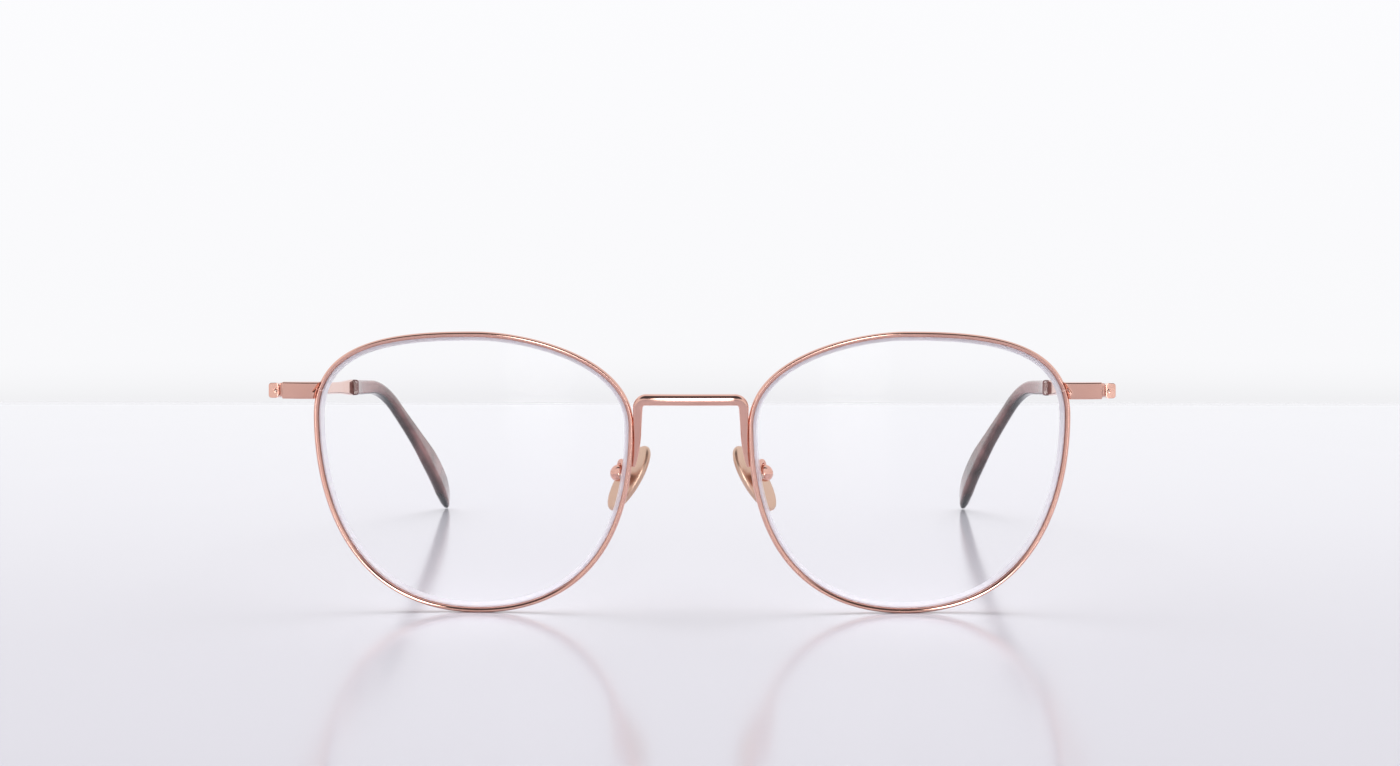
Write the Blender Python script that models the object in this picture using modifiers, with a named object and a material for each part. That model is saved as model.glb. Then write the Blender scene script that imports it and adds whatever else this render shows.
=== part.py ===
"""Round wire eyeglasses, resting on a table on their rims and temple tips.

World axes: +X to the wearer's left, +Y from the front towards the ears, +Z up.
The origin is on the table, in the middle of the object's length and width.
Names say left and right as the wearer would: left is at +X, right at -X.
"""
from math import cos, pi, radians, sin, tan

import bmesh
import bpy
from mathutils import Matrix, Vector

MM = 0.001
LEFT, RIGHT = 1, -1
SIDES = ((LEFT, "left"), (RIGHT, "right"))

# Where the front stands
FRONT_Y = -66.31 * MM           # front datum, so that the origin is at mid length
FRONT_TILT = radians(4.0)       # the top of the front leans forwards
EYE_CENTRE_X = 35.5 * MM
EYE_CENTRE_Z = 22.784 * MM
EYE_WRAP = radians(3.0)         # each lens plane turns back towards its temple
LENS_SAG_RADIUS = 125.0 * MM

# Lens shape, walked temple, top, nose, bottom from the eye's centre (out from the nose, up):
# knot, direction of travel, handle before it, handle after it
EYE_KNOTS = (
    ((25.4, 9.0), (0, 1), 14.0, 12.0),
    ((-1.0, 22.6), (-1, 0), 13.2, 7.8),
    ((-25.7, 7.6), (0, -1), 11.2, 21.0),
    ((-0.4, -22.6), (1, 0), 15.0, 20.4),
)
EYE_MEAN_RADIUS = 24.0
EYE_STEPS = 12                  # segments between two knots

# Rim wire and lens
RIM_WIDTH = 0.90 * MM
RIM_DEPTH = 1.8 * MM
RIM_MID_DEPTH = 0.9 * MM        # wire centre behind the lens's front surface
GROOVE_DEPTH = 0.28 * MM
GROOVE_HALF_WIDTH = 0.55 * MM
LENS_INSET = 0.40 * MM          # lens edge inside the wire's centre line
LENS_THICKNESS = 1.9 * MM
LENS_CHAMFER = 1.0 * MM
LENS_EDGE_FLAT = 0.36 * MM
BLANK_RADIUS = 32 * MM
BLANK_ROWS = 5
BLANK_STEPS = 30

# Rim lock: the split in the rim and its two blocks
LOCK_UP = 13.15 * MM            # height of the split above the eye's centre
LOCK_SPLIT = 0.16 * MM
LOCK_Z = 36.28 * MM
LOCK_BLOCK = (2.6 * MM, 1.9 * MM, 1.10 * MM)
LOCK_BLOCK_X = 61.6 * MM        # its inner end is shaped to the rim
LOCK_BEVEL = 0.15 * MM
LOCK_SCREW_X = 62.0 * MM
LOCK_BLOCK_Y = 5.65 * MM
LOCK_SCREW_RADIUS = 0.40 * MM
LOCK_HEAD_RADIUS = 0.72 * MM
LOCK_HEAD_HEIGHT = 0.25 * MM

# Endpieces and hinges
STRAP_Z = 36.3 * MM
STRAP_HEIGHT = 2.7 * MM
STRAP_PLAN = (                  # out from the middle, behind the front datum
    (59.25, 2.60), (63.2, 2.60), (66.15, 3.05), (66.15, 4.5), (59.25, 4.5))
STRAP_BEVEL = 0.22 * MM
HINGE_X = 64.9 * MM
HINGE_Y = 5.95 * MM
KNUCKLE_RADIUS = 0.95 * MM
KNUCKLE_HEIGHT = 0.69 * MM
KNUCKLE_GAP = 0.05 * MM
HINGE_WEB = 0.8 * MM
HINGE_WEB_START = 0.5 * MM      # out from the hinge axis
LEAF_INNER_X = 64.0 * MM        # the leaf behind the strap also closes the gap to the arm
LEAF_OUTER_X = 66.45 * MM
LEAF_FRONT_Y = 4.55 * MM
LEAF_BACK_Y = 5.5 * MM
PIN_RADIUS = 0.40 * MM
PIN_CLEARANCE = 0.05 * MM
PIN_HEAD_RADIUS = 0.62 * MM
PIN_HEAD_HEIGHT = 0.30 * MM
TOUCH_GAP = 0.05 * MM           # between pieces that are joined or rest on each other
CUT_PAST = 4 * MM               # how far a cutter runs past what it cuts

# Temples: a flat arm that slopes down, then a tip that bends behind the ear
TEMPLE_SLOPE = radians(4.76)
ARM_FRONT_Y = 3.3 * MM
ARM_FRONT_Z = 36.3 * MM
ARM_FACE_X = 66.55 * MM         # inner face, where the hinge's web is fixed
ARM_STATIONS = (                # behind the front datum, out from the middle, height, thickness
    (3.3, 67.42, 2.45, 1.74),
    (9.0, 67.42, 2.45, 1.74),
    (14.0, 67.45, 2.10, 1.25),
    (45.0, 67.20, 2.10, 1.20),
    (70.0, 66.65, 2.20, 1.20),
    (81.95, 66.05, 3.00, 1.30),
)
RIVET_X = 67.08 * MM
RIVET_RADIUS = 0.34 * MM
RIVET_RISE = 0.30 * MM
CORE_RADIUS = 0.50 * MM         # the metal core, from the arm's end into the tip
CORE_X = 66.0 * MM
CORE_START = 0.3 * MM           # ahead of the tip
CORE_LENGTH = 8.3 * MM
CORE_TURN = radians(7.0)        # inwards
CORE_CLEARANCE = 0.08 * MM
TIP_START_Y = 82.0 * MM
TIP_START_X = 65.5 * MM
TIP_INWARDS = 12.2 * MM         # how far the tip's end comes in
TIP_EASE = 0.91                 # under 1, the tip starts to come in sooner
TIP_STRAIGHT = 12.0 * MM
TIP_BEND_RADIUS = 21.0 * MM
TIP_END_SLOPE = radians(40.73)
TIP_LENGTH = 61.0 * MM
TIP_STATIONS = (                # distance along the tip, height, thickness
    (0.0, 2.95, 2.60),
    (16.0, 2.55, 2.50),
    (25.0, 2.45, 2.40),
    (35.0, 3.20, 2.40),
    (45.0, 4.80, 2.50),
    (52.0, 4.90, 2.40),
    (57.0, 3.50, 2.00),
    (60.0, 1.70, 1.20),
    (61.0, 0.60, 0.50),
)
TIP_STEPS = 2                   # rings between two stations
TIP_PATH_STEP = 0.5 * MM

# Bridge: a wire bent down at both ends to run beside the rims
# knot (out, back, up from the eye centres), direction of travel, handle length, radius
BRIDGE_KNOTS = (
    ((0.0, 1.15, 12.20), (1.0, 0.0, 0.0), 2.40, 0.90),
    ((7.2, 1.40, 12.20), (1.0, 0.15, 0.0), 0.75, 0.90),
    ((8.5, 1.60, 10.80), (0.0, 0.1, -1.0), 0.75, 0.76),
    ((8.5, 1.90, 7.00), (0.0, 0.1, -1.0), 1.20, 0.56),
    ((8.6, 2.20, 4.20), (0.1, 0.1, -1.0), 0.90, 0.48),
    ((9.2, 2.35, 1.20), (0.3, 0.1, -1.0), 0.90, 0.24),
)

# Nose pads
PAD_CENTRE = (10.25 * MM, 8.0 * MM, 21.5 * MM)
PAD_SIZE = (6.8 * MM, 12.0 * MM, 1.1 * MM)
PAD_SPLAY = radians(24.0)       # the back edge stands further out than the front edge
PAD_FLARE = radians(31.0)       # the lower end stands further out than the upper end
PAD_BOX_HEIGHT = 2.2 * MM       # box centre above the pad's middle
PAD_BOX_RADIUS = 1.3 * MM
PAD_BOX_DEPTH = 2.0 * MM
PAD_POCKET = (1.25 * MM, 1.75 * MM)
PAD_POST = (1.00 * MM, 1.10 * MM)
PAD_SCREW_RADIUS = 0.30 * MM
PAD_SCREW_HEAD_RADIUS = 0.52 * MM
PAD_ARM_RADIUS = 0.42 * MM
PAD_ARM_START = (10.38 * MM, 3.12 * MM, 22.1 * MM)
PAD_ARM_LEAVES = (0.37, 0.82, 0.44)  # direction in which it leaves the rim
PAD_ARM_LEAD = 1.5 * MM
PAD_ARM_LOOP = 2.0 * MM
PAD_POST_TOP = 0.62 * MM        # above the pad's screw
PAD_POCKET_SHIFT = 0.25 * MM    # leaves the box closed at its outer end
PAD_HEAD_HEIGHT = 0.25 * MM

METAL = dict(color=(0.80, 0.47, 0.37), roughness=0.18, metallic=1.0)
SCREW = dict(color=(0.72, 0.66, 0.60), roughness=0.25, metallic=1.0)
GLASS = dict(color=(0.95, 0.96, 0.97), roughness=0.03, alpha=0.35)
ACETATE = dict(color=(0.10, 0.05, 0.04), roughness=0.15)
PAD_LOOK = dict(color=(0.62, 0.44, 0.35), roughness=0.35, metallic=0.8)


def clear_scene():
    for obj in list(bpy.data.objects):
        bpy.data.objects.remove(obj, do_unlink=True)


def new_collection(name):
    collection = bpy.data.collections.new(name)
    bpy.context.scene.collection.children.link(collection)
    return collection


def add_material(obj, color, roughness, metallic=0.0, alpha=1.0):
    material = bpy.data.materials.new(obj.name)
    material.use_nodes = True
    shader = material.node_tree.nodes["Principled BSDF"]
    shader.inputs["Base Color"].default_value = (*color, 1.0)
    shader.inputs["Roughness"].default_value = roughness
    shader.inputs["Metallic"].default_value = metallic
    shader.inputs["Alpha"].default_value = alpha
    obj.data.materials.append(material)


def add_empty(name, parent=None, location=(0, 0, 0), rotation=(0, 0, 0)):
    empty = bpy.data.objects.new(name, None)
    parts.objects.link(empty)
    empty.empty_display_size = 0.004
    empty.parent = parent
    empty.location = location
    empty.rotation_euler = rotation
    return empty


def add_object(name, mesh, parent=None, location=(0, 0, 0), rotation=(0, 0, 0), look=METAL):
    obj = bpy.data.objects.new(name, mesh)
    parts.objects.link(obj)
    obj.parent = parent
    obj.location = location
    obj.rotation_euler = rotation
    add_material(obj, **look)
    return obj


def add_cutter(name, mesh, parent=None, location=(0, 0, 0), rotation=(0, 0, 0)):
    cutter = bpy.data.objects.new(name, mesh)
    cutters.objects.link(cutter)
    cutter.parent = parent
    cutter.location = location
    cutter.rotation_euler = rotation
    cutter.hide_render = True
    cutter.display_type = "WIRE"
    return cutter


def add_boolean(obj, cutter, operation="DIFFERENCE"):
    modifier = obj.modifiers.new(operation.title(), "BOOLEAN")
    modifier.operation = operation
    modifier.object = cutter


def add_bevel(obj, width, segments=2, angle=radians(35)):
    modifier = obj.modifiers.new("Bevel", "BEVEL")
    modifier.width = width
    modifier.segments = segments
    modifier.limit_method = "ANGLE"
    modifier.angle_limit = angle


def mesh_from_bmesh(name, bm):
    bmesh.ops.recalc_face_normals(bm, faces=bm.faces)
    mesh = bpy.data.meshes.new(name)
    bm.to_mesh(mesh)
    bm.free()
    return mesh


def box_mesh(name, size, centre=(0, 0, 0)):
    bm = bmesh.new()
    bmesh.ops.create_cube(bm, size=1.0)
    bmesh.ops.scale(bm, vec=Vector(size), verts=bm.verts)
    bmesh.ops.translate(bm, vec=Vector(centre), verts=bm.verts)
    return mesh_from_bmesh(name, bm)


def add_disc(bm, radius, low, high, segments=20):
    """Adds an upright cylinder between two heights to a bmesh."""
    made = bmesh.ops.create_cone(bm, cap_ends=True, segments=segments, radius1=radius,
                                 radius2=radius, depth=high - low)
    bmesh.ops.translate(bm, vec=(0, 0, (low + high) / 2), verts=made["verts"])


def cylinder_mesh(name, radius, low, high, segments=20):
    bm = bmesh.new()
    add_disc(bm, radius, low, high, segments)
    return mesh_from_bmesh(name, bm)


def turned_mesh(name, profile, steps):
    """A closed solid turned about Z from a profile of (radius, height) that ends on the axis."""
    mesh = bpy.data.meshes.new(name + "_profile")
    points = [(radius, 0.0, height) for radius, height in profile]
    mesh.from_pydata(points, [(i, i + 1) for i in range(len(points) - 1)], [])
    obj = bpy.data.objects.new(name + "_profile", mesh)
    cutters.objects.link(obj)
    screw = obj.modifiers.new("Screw", "SCREW")
    screw.steps = steps
    screw.render_steps = steps
    screw.use_merge_vertices = True
    screw.merge_threshold = 0.000001
    result = evaluated_mesh(obj, name)
    bpy.data.objects.remove(obj, do_unlink=True)
    return result


def evaluated_mesh(obj, name):
    bpy.context.view_layer.update()
    graph = bpy.context.evaluated_depsgraph_get()
    mesh = bpy.data.meshes.new_from_object(obj.evaluated_get(graph))
    bm = bmesh.new()
    bm.from_mesh(mesh)
    bpy.data.meshes.remove(mesh)
    bmesh.ops.remove_doubles(bm, verts=bm.verts, dist=0.000001)
    return mesh_from_bmesh(name, bm)


def curve_object(name, dimensions, settings):
    curve = bpy.data.curves.new(name, "CURVE")
    curve.dimensions = dimensions
    for key, value in settings.items():
        setattr(curve, key, value)
    obj = bpy.data.objects.new(name, curve)
    cutters.objects.link(obj)
    return obj


def add_poly(obj, points):
    """Adds a closed run of straight segments to a curve object."""
    spline = obj.data.splines.new("POLY")
    spline.points.add(len(points) - 1)
    spline.use_cyclic_u = True
    for target, point in zip(spline.points, points):
        target.co = (*point, 0.0, 1.0)


def take_mesh(obj):
    """Returns a curve object's mesh, with its caps welded, and removes the curve."""
    mesh = evaluated_mesh(obj, obj.name)
    bpy.data.objects.remove(obj, do_unlink=True)
    return mesh


def wire_mesh(name, knots, handles, radii=None, cyclic=False, **settings):
    """The mesh of a Bezier curve with a bevel, from knots and their pairs of handles."""
    obj = curve_object(name, "3D", dict(use_fill_caps=not cyclic, **settings))
    spline = obj.data.splines.new("BEZIER")
    spline.bezier_points.add(len(knots) - 1)
    spline.use_cyclic_u = cyclic
    for i, point in enumerate(spline.bezier_points):
        point.co = knots[i]
        point.handle_left_type = point.handle_right_type = "FREE"
        point.handle_left, point.handle_right = handles[i]
        if radii:
            point.radius = radii[i]
    return take_mesh(obj)


def loft_mesh(name, rings):
    """Skins a row of closed rings of points and caps both ends."""
    bm = bmesh.new()
    rows = [[bm.verts.new(point) for point in ring] for ring in rings]
    count = len(rows[0])
    for near, far in zip(rows, rows[1:]):
        for i in range(count):
            j = (i + 1) % count
            bm.faces.new((near[i], near[j], far[j], far[i]))
    bm.faces.new(rows[0])
    bm.faces.new(rows[-1])
    return mesh_from_bmesh(name, bm)


def rounded_ring(centre, across, up, width, height, corner=0.35, steps=2):
    """A rounded rectangle of points about centre, in the plane of across and up."""
    radius = corner * min(width, height)
    ring = []
    for quarter, (sx, sy) in enumerate(((1, 1), (-1, 1), (-1, -1), (1, -1))):
        for step in range(steps + 1):
            angle = (quarter + step / steps) * pi / 2
            x = sx * (width / 2 - radius) + radius * cos(angle)
            y = sy * (height / 2 - radius) + radius * sin(angle)
            ring.append(centre + across * x + up * y)
    return ring


def eye_outline(side, inset=0.0):
    """Knots and handles of the lens shape in the lens plane, moved inwards by inset."""
    scale = 1 - inset / (EYE_MEAN_RADIUS * MM)
    knots, handles = [], []
    for (out, up), (go_out, go_up), before, after in EYE_KNOTS:
        travel = Vector((side * go_out, go_up, 0))
        outwards = Vector((side * go_up, -go_out, 0))
        knot = Vector((side * out, up, 0)) * MM - outwards * inset
        knots.append(knot)
        handles.append((knot - travel * before * MM * scale, knot + travel * after * MM * scale))
    return knots, handles


def sag(mesh, depth):
    """Moves a flat ring in the lens plane back onto the lens's curved front, plus depth."""
    for vertex in mesh.vertices:
        x, y, _ = vertex.co
        vertex.co.z -= (x * x + y * y) / (2 * LENS_SAG_RADIUS) + depth


def eye_ring(name, side, section):
    """Sweeps a section (away from the lens's centre, depth) along the lens shape."""
    knots, handles = eye_outline(side)
    profile = curve_object(name + "_section", "2D", {})
    add_poly(profile, [(side * outwards, depth) for outwards, depth in section])
    mesh = wire_mesh(name, knots, handles, cyclic=True, bevel_mode="OBJECT",
                     bevel_object=profile, twist_mode="Z_UP", resolution_u=EYE_STEPS)
    bpy.data.objects.remove(profile, do_unlink=True)
    sag(mesh, RIM_MID_DEPTH)
    return mesh


def rim_section():
    """A wire with a rounded outer side and a V groove that faces the lens."""
    half_width, half_depth = RIM_WIDTH / 2, RIM_DEPTH / 2
    arc = [radians(angle) for angle in (-100, -64, -32, 0, 32, 64, 100)]
    points = [(half_width * cos(angle), half_depth * sin(angle)) for angle in arc]
    points += [(-half_width, GROOVE_HALF_WIDTH), (GROOVE_DEPTH - half_width, 0.0),
               (-half_width, -GROOVE_HALF_WIDTH)]
    return points


def grinding_section():
    """What is ground off a lens blank: everything outside a V edge."""
    edge, shoulder = -LENS_INSET, -LENS_INSET - LENS_CHAMFER
    far, deep = 12 * MM, 4 * MM
    flat = LENS_EDGE_FLAT / 2
    upper = [(far, deep), (shoulder, deep), (shoulder, flat + LENS_CHAMFER), (edge, flat)]
    return upper + [(outwards, -depth) for outwards, depth in reversed(upper)]


def build_rim(side, word, eye):
    """The split rim. Returns the cutter that shapes what is fixed to the rim's outer side."""
    rim = add_object("rim_" + word, eye_ring("rim_" + word, side, rim_section()), eye)
    slit = box_mesh("rim_split_" + word, (CUT_PAST, LOCK_SPLIT, 2 * CUT_PAST))
    split_place = (side * EYE_KNOTS[0][0][0] * MM, LOCK_UP, -CUT_PAST)
    add_boolean(rim, add_cutter(slit.name, slit, eye, split_place))
    outer = RIM_WIDTH / 2 + TOUCH_GAP
    section = ((-CUT_PAST, -CUT_PAST), (outer, -CUT_PAST), (outer, CUT_PAST),
               (-CUT_PAST, CUT_PAST))
    name = "rim_clearance_" + word
    return add_cutter(name, eye_ring(name, side, section), eye)


def build_lens(side, word, eye):
    front_arc = []
    for i in range(BLANK_ROWS + 1):
        radius = BLANK_RADIUS * i / BLANK_ROWS
        depth = radius ** 2 / (2 * LENS_SAG_RADIUS) + RIM_MID_DEPTH - LENS_THICKNESS / 2
        front_arc.append((radius, -depth))
    back_arc = [(radius, height - LENS_THICKNESS) for radius, height in reversed(front_arc)]
    blank = turned_mesh("lens_" + word, front_arc + back_arc, BLANK_STEPS)
    lens = add_object("lens_" + word, blank, eye, look=GLASS)
    wheel = eye_ring("lens_edging_" + word, side, grinding_section())
    add_boolean(lens, add_cutter(wheel.name, wheel, eye))


def build_bridge(front):
    knots, handles, radii = [], [], []
    for side in (RIGHT, LEFT):
        for (x, y, z), travel, handle, radius in BRIDGE_KNOTS[::side]:
            if side == LEFT and x == 0:
                continue
            knot = Vector((side * x, y, z)) * MM
            step = Vector((travel[0], side * travel[1], side * travel[2])) * handle * MM
            knots.append(knot)
            handles.append((knot - step, knot + step))
            radii.append(radius * MM)
    mesh = wire_mesh("bridge", knots, handles, radii, bevel_depth=1.0, bevel_resolution=2,
                     resolution_u=5)
    add_object("bridge", mesh, front)


def build_endpiece(side, word, root, rim_clearance):
    flat = curve_object("endpiece_" + word, "2D",
                        dict(fill_mode="BOTH", extrude=STRAP_HEIGHT / 2))
    add_poly(flat, [(side * x * MM, y * MM) for x, y in STRAP_PLAN])
    strap = add_object(flat.name, take_mesh(flat), root, (0, 0, STRAP_Z))
    add_bevel(strap, STRAP_BEVEL)
    add_boolean(strap, rim_clearance)


def build_lock(side, word, root, rim_clearance):
    width, depth, height = LOCK_BLOCK
    for sign, place in ((1, "upper"), (-1, "lower")):
        level = LOCK_Z + sign * (LOCK_SPLIT + height) / 2
        name = "lock_%s_%s" % (place, word)
        block = add_object(name, box_mesh(name, (width, depth, height)), root,
                           (side * LOCK_BLOCK_X, LOCK_BLOCK_Y, level))
        add_bevel(block, LOCK_BEVEL, segments=1)
        add_boolean(block, rim_clearance)
        hole = cylinder_mesh(name + "_hole", LOCK_SCREW_RADIUS + PIN_CLEARANCE,
                             -height, height, 16)
        add_boolean(block, add_cutter(hole.name, hole, root,
                                      (side * LOCK_SCREW_X, LOCK_BLOCK_Y, level)))
    bottom = -height - LOCK_SPLIT / 2
    shaft = cylinder_mesh("lock_screw_" + word, LOCK_SCREW_RADIUS, bottom - TOUCH_GAP * 2,
                          -bottom - TOUCH_GAP * 2, 16)
    screw = add_object(shaft.name, shaft, root, (side * LOCK_SCREW_X, LOCK_BLOCK_Y, LOCK_Z),
                       look=SCREW)
    head = cylinder_mesh("lock_head_" + word, LOCK_HEAD_RADIUS,
                         bottom - TOUCH_GAP - LOCK_HEAD_HEIGHT, bottom - TOUCH_GAP, 16)
    add_boolean(screw, add_cutter(head.name, head, root, screw.location), "UNION")


def build_hinge(side, word, root, temple):
    axis = Vector((side * HINGE_X, HINGE_Y, STRAP_Z))
    pitch = KNUCKLE_HEIGHT + KNUCKLE_GAP
    top = pitch + KNUCKLE_HEIGHT / 2
    bm = bmesh.new()
    for level in (-1, 1):
        low = level * pitch - KNUCKLE_HEIGHT / 2
        add_disc(bm, KNUCKLE_RADIUS, low, low + KNUCKLE_HEIGHT)
    mesh = mesh_from_bmesh("hinge_front_" + word, bm)
    hinge = add_object(mesh.name, mesh, root, axis)
    leaf = box_mesh("hinge_leaf_" + word,
                    (LEAF_OUTER_X - LEAF_INNER_X, LEAF_BACK_Y - LEAF_FRONT_Y, 2 * top),
                    (side * ((LEAF_OUTER_X + LEAF_INNER_X) / 2 - HINGE_X),
                     (LEAF_BACK_Y + LEAF_FRONT_Y) / 2 - HINGE_Y, 0))
    add_boolean(hinge, add_cutter(leaf.name, leaf, root, axis), "UNION")
    relief = cylinder_mesh("hinge_relief_" + word, KNUCKLE_RADIUS + 0.08 * MM,
                           -KNUCKLE_HEIGHT / 2 - KNUCKLE_GAP, KNUCKLE_HEIGHT / 2 + KNUCKLE_GAP, 24)
    add_boolean(hinge, add_cutter(relief.name, relief, root, axis))
    bore = cylinder_mesh("hinge_bore_" + word, PIN_RADIUS + PIN_CLEARANCE,
                         -CUT_PAST, CUT_PAST, 16)
    add_boolean(hinge, add_cutter(bore.name, bore, root, axis))
    seat = cylinder_mesh("hinge_seat_" + word, PIN_HEAD_RADIUS + PIN_CLEARANCE,
                         top - PIN_HEAD_HEIGHT - PIN_CLEARANCE, top + CUT_PAST, 16)
    add_boolean(hinge, add_cutter(seat.name, seat, root, axis))

    knuckle = cylinder_mesh("hinge_temple_" + word, KNUCKLE_RADIUS, -KNUCKLE_HEIGHT / 2,
                            KNUCKLE_HEIGHT / 2)
    moving = add_object(knuckle.name, knuckle, temple)
    web_end = ARM_FACE_X - TOUCH_GAP - HINGE_X
    web = box_mesh("hinge_web_" + word, (web_end - HINGE_WEB_START, HINGE_WEB, KNUCKLE_HEIGHT),
                   (side * (web_end + HINGE_WEB_START) / 2, 0, 0))
    add_boolean(moving, add_cutter(web.name, web, temple), "UNION")
    bore_moving = cylinder_mesh("hinge_bore_moving_" + word, PIN_RADIUS + PIN_CLEARANCE,
                                -CUT_PAST, CUT_PAST, 16)
    add_boolean(moving, add_cutter(bore_moving.name, bore_moving, temple))

    pin = cylinder_mesh("hinge_screw_" + word, PIN_RADIUS, -top, top - PIN_HEAD_HEIGHT / 2, 16)
    screw = add_object(pin.name, pin, root, axis, look=SCREW)
    head = cylinder_mesh("hinge_head_" + word, PIN_HEAD_RADIUS, top - PIN_HEAD_HEIGHT, top, 16)
    add_boolean(screw, add_cutter(head.name, head, root, axis), "UNION")


def arm_height(y):
    return ARM_FRONT_Z - (y - ARM_FRONT_Y) * tan(TEMPLE_SLOPE)


def build_arm(side, word, temple):
    """The arm, hung on the hinge axis, with the core that goes into the tip."""
    hinge = Vector((side * HINGE_X, HINGE_Y, STRAP_Z))
    across = Vector((1, 0, 0))
    up = Vector((0, sin(TEMPLE_SLOPE), cos(TEMPLE_SLOPE)))
    rings = []
    for y, x, height, thickness in ARM_STATIONS:
        centre = Vector((side * x * MM, y * MM, arm_height(y * MM))) - hinge
        rings.append(rounded_ring(centre, across, up, thickness * MM, height * MM, 0.3))
    arm = add_object("temple_arm_" + word, loft_mesh("temple_arm_" + word, rings), temple)
    add_boolean(arm, add_core(side, "temple_core_" + word, temple, CORE_RADIUS, CORE_LENGTH),
                "UNION")

    rivet = cylinder_mesh("temple_rivet_" + word, RIVET_RADIUS, TOUCH_GAP, RIVET_RISE, 14)
    front_face = Vector((side * RIVET_X, ARM_FRONT_Y, ARM_FRONT_Z)) - hinge
    add_object(rivet.name, rivet, temple, front_face, (pi / 2, 0, 0), SCREW)


def add_core(side, name, temple, radius, length):
    """A cylinder where the core runs, as a cutter or to be joined to the arm."""
    hinge = Vector((side * HINGE_X, HINGE_Y, STRAP_Z))
    start_y = TIP_START_Y - CORE_START
    start = Vector((side * CORE_X, start_y, arm_height(start_y))) - hinge
    turn = (-pi / 2 - TEMPLE_SLOPE, 0, side * CORE_TURN)
    return add_cutter(name, cylinder_mesh(name, radius, 0, length, 16), temple, start, turn)


def tip_path():
    """Walks along the tip: distance, place behind the front datum, height and slope."""
    y, z, slope = TIP_START_Y, arm_height(TIP_START_Y), TEMPLE_SLOPE
    path = [(0.0, y, z, slope)]
    for i in range(1, round(TIP_LENGTH / TIP_PATH_STEP) + 1):
        walked = i * TIP_PATH_STEP
        if walked > TIP_STRAIGHT:
            slope = min(TIP_END_SLOPE, slope + TIP_PATH_STEP / TIP_BEND_RADIUS)
        y += cos(slope) * TIP_PATH_STEP
        z -= sin(slope) * TIP_PATH_STEP
        path.append((walked, y, z, slope))
    return path


def tip_stations():
    """The tip's stations with more rings between them."""
    rings = []
    for near, far in zip(TIP_STATIONS, TIP_STATIONS[1:]):
        for i in range(TIP_STEPS):
            share = i / TIP_STEPS
            rings.append([a + (b - a) * share for a, b in zip(near, far)])
    return rings + [TIP_STATIONS[-1]]


def build_tip(side, word, temple):
    hinge = Vector((side * HINGE_X, HINGE_Y, STRAP_Z))
    across = Vector((1, 0, 0))
    path = tip_path()
    sections = []
    for distance, height, thickness in tip_stations():
        _, y, z, slope = min(path, key=lambda place: abs(place[0] - distance * MM))
        share = (distance * MM / TIP_LENGTH) ** TIP_EASE
        inwards = TIP_INWARDS * share * share * (3 - 2 * share)
        centre = Vector((side * (TIP_START_X - inwards), y, z)) - hinge
        up = Vector((0, sin(slope), cos(slope)))
        sections.append(rounded_ring(centre, across, up, thickness * MM, height * MM, 0.42))
    tip = add_object("temple_tip_" + word, loft_mesh("temple_tip_" + word, sections), temple,
                     look=ACETATE)
    add_boolean(tip, add_core(side, "tip_pocket_" + word, temple, CORE_RADIUS + CORE_CLEARANCE,
                              CORE_LENGTH + CORE_CLEARANCE))


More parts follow.
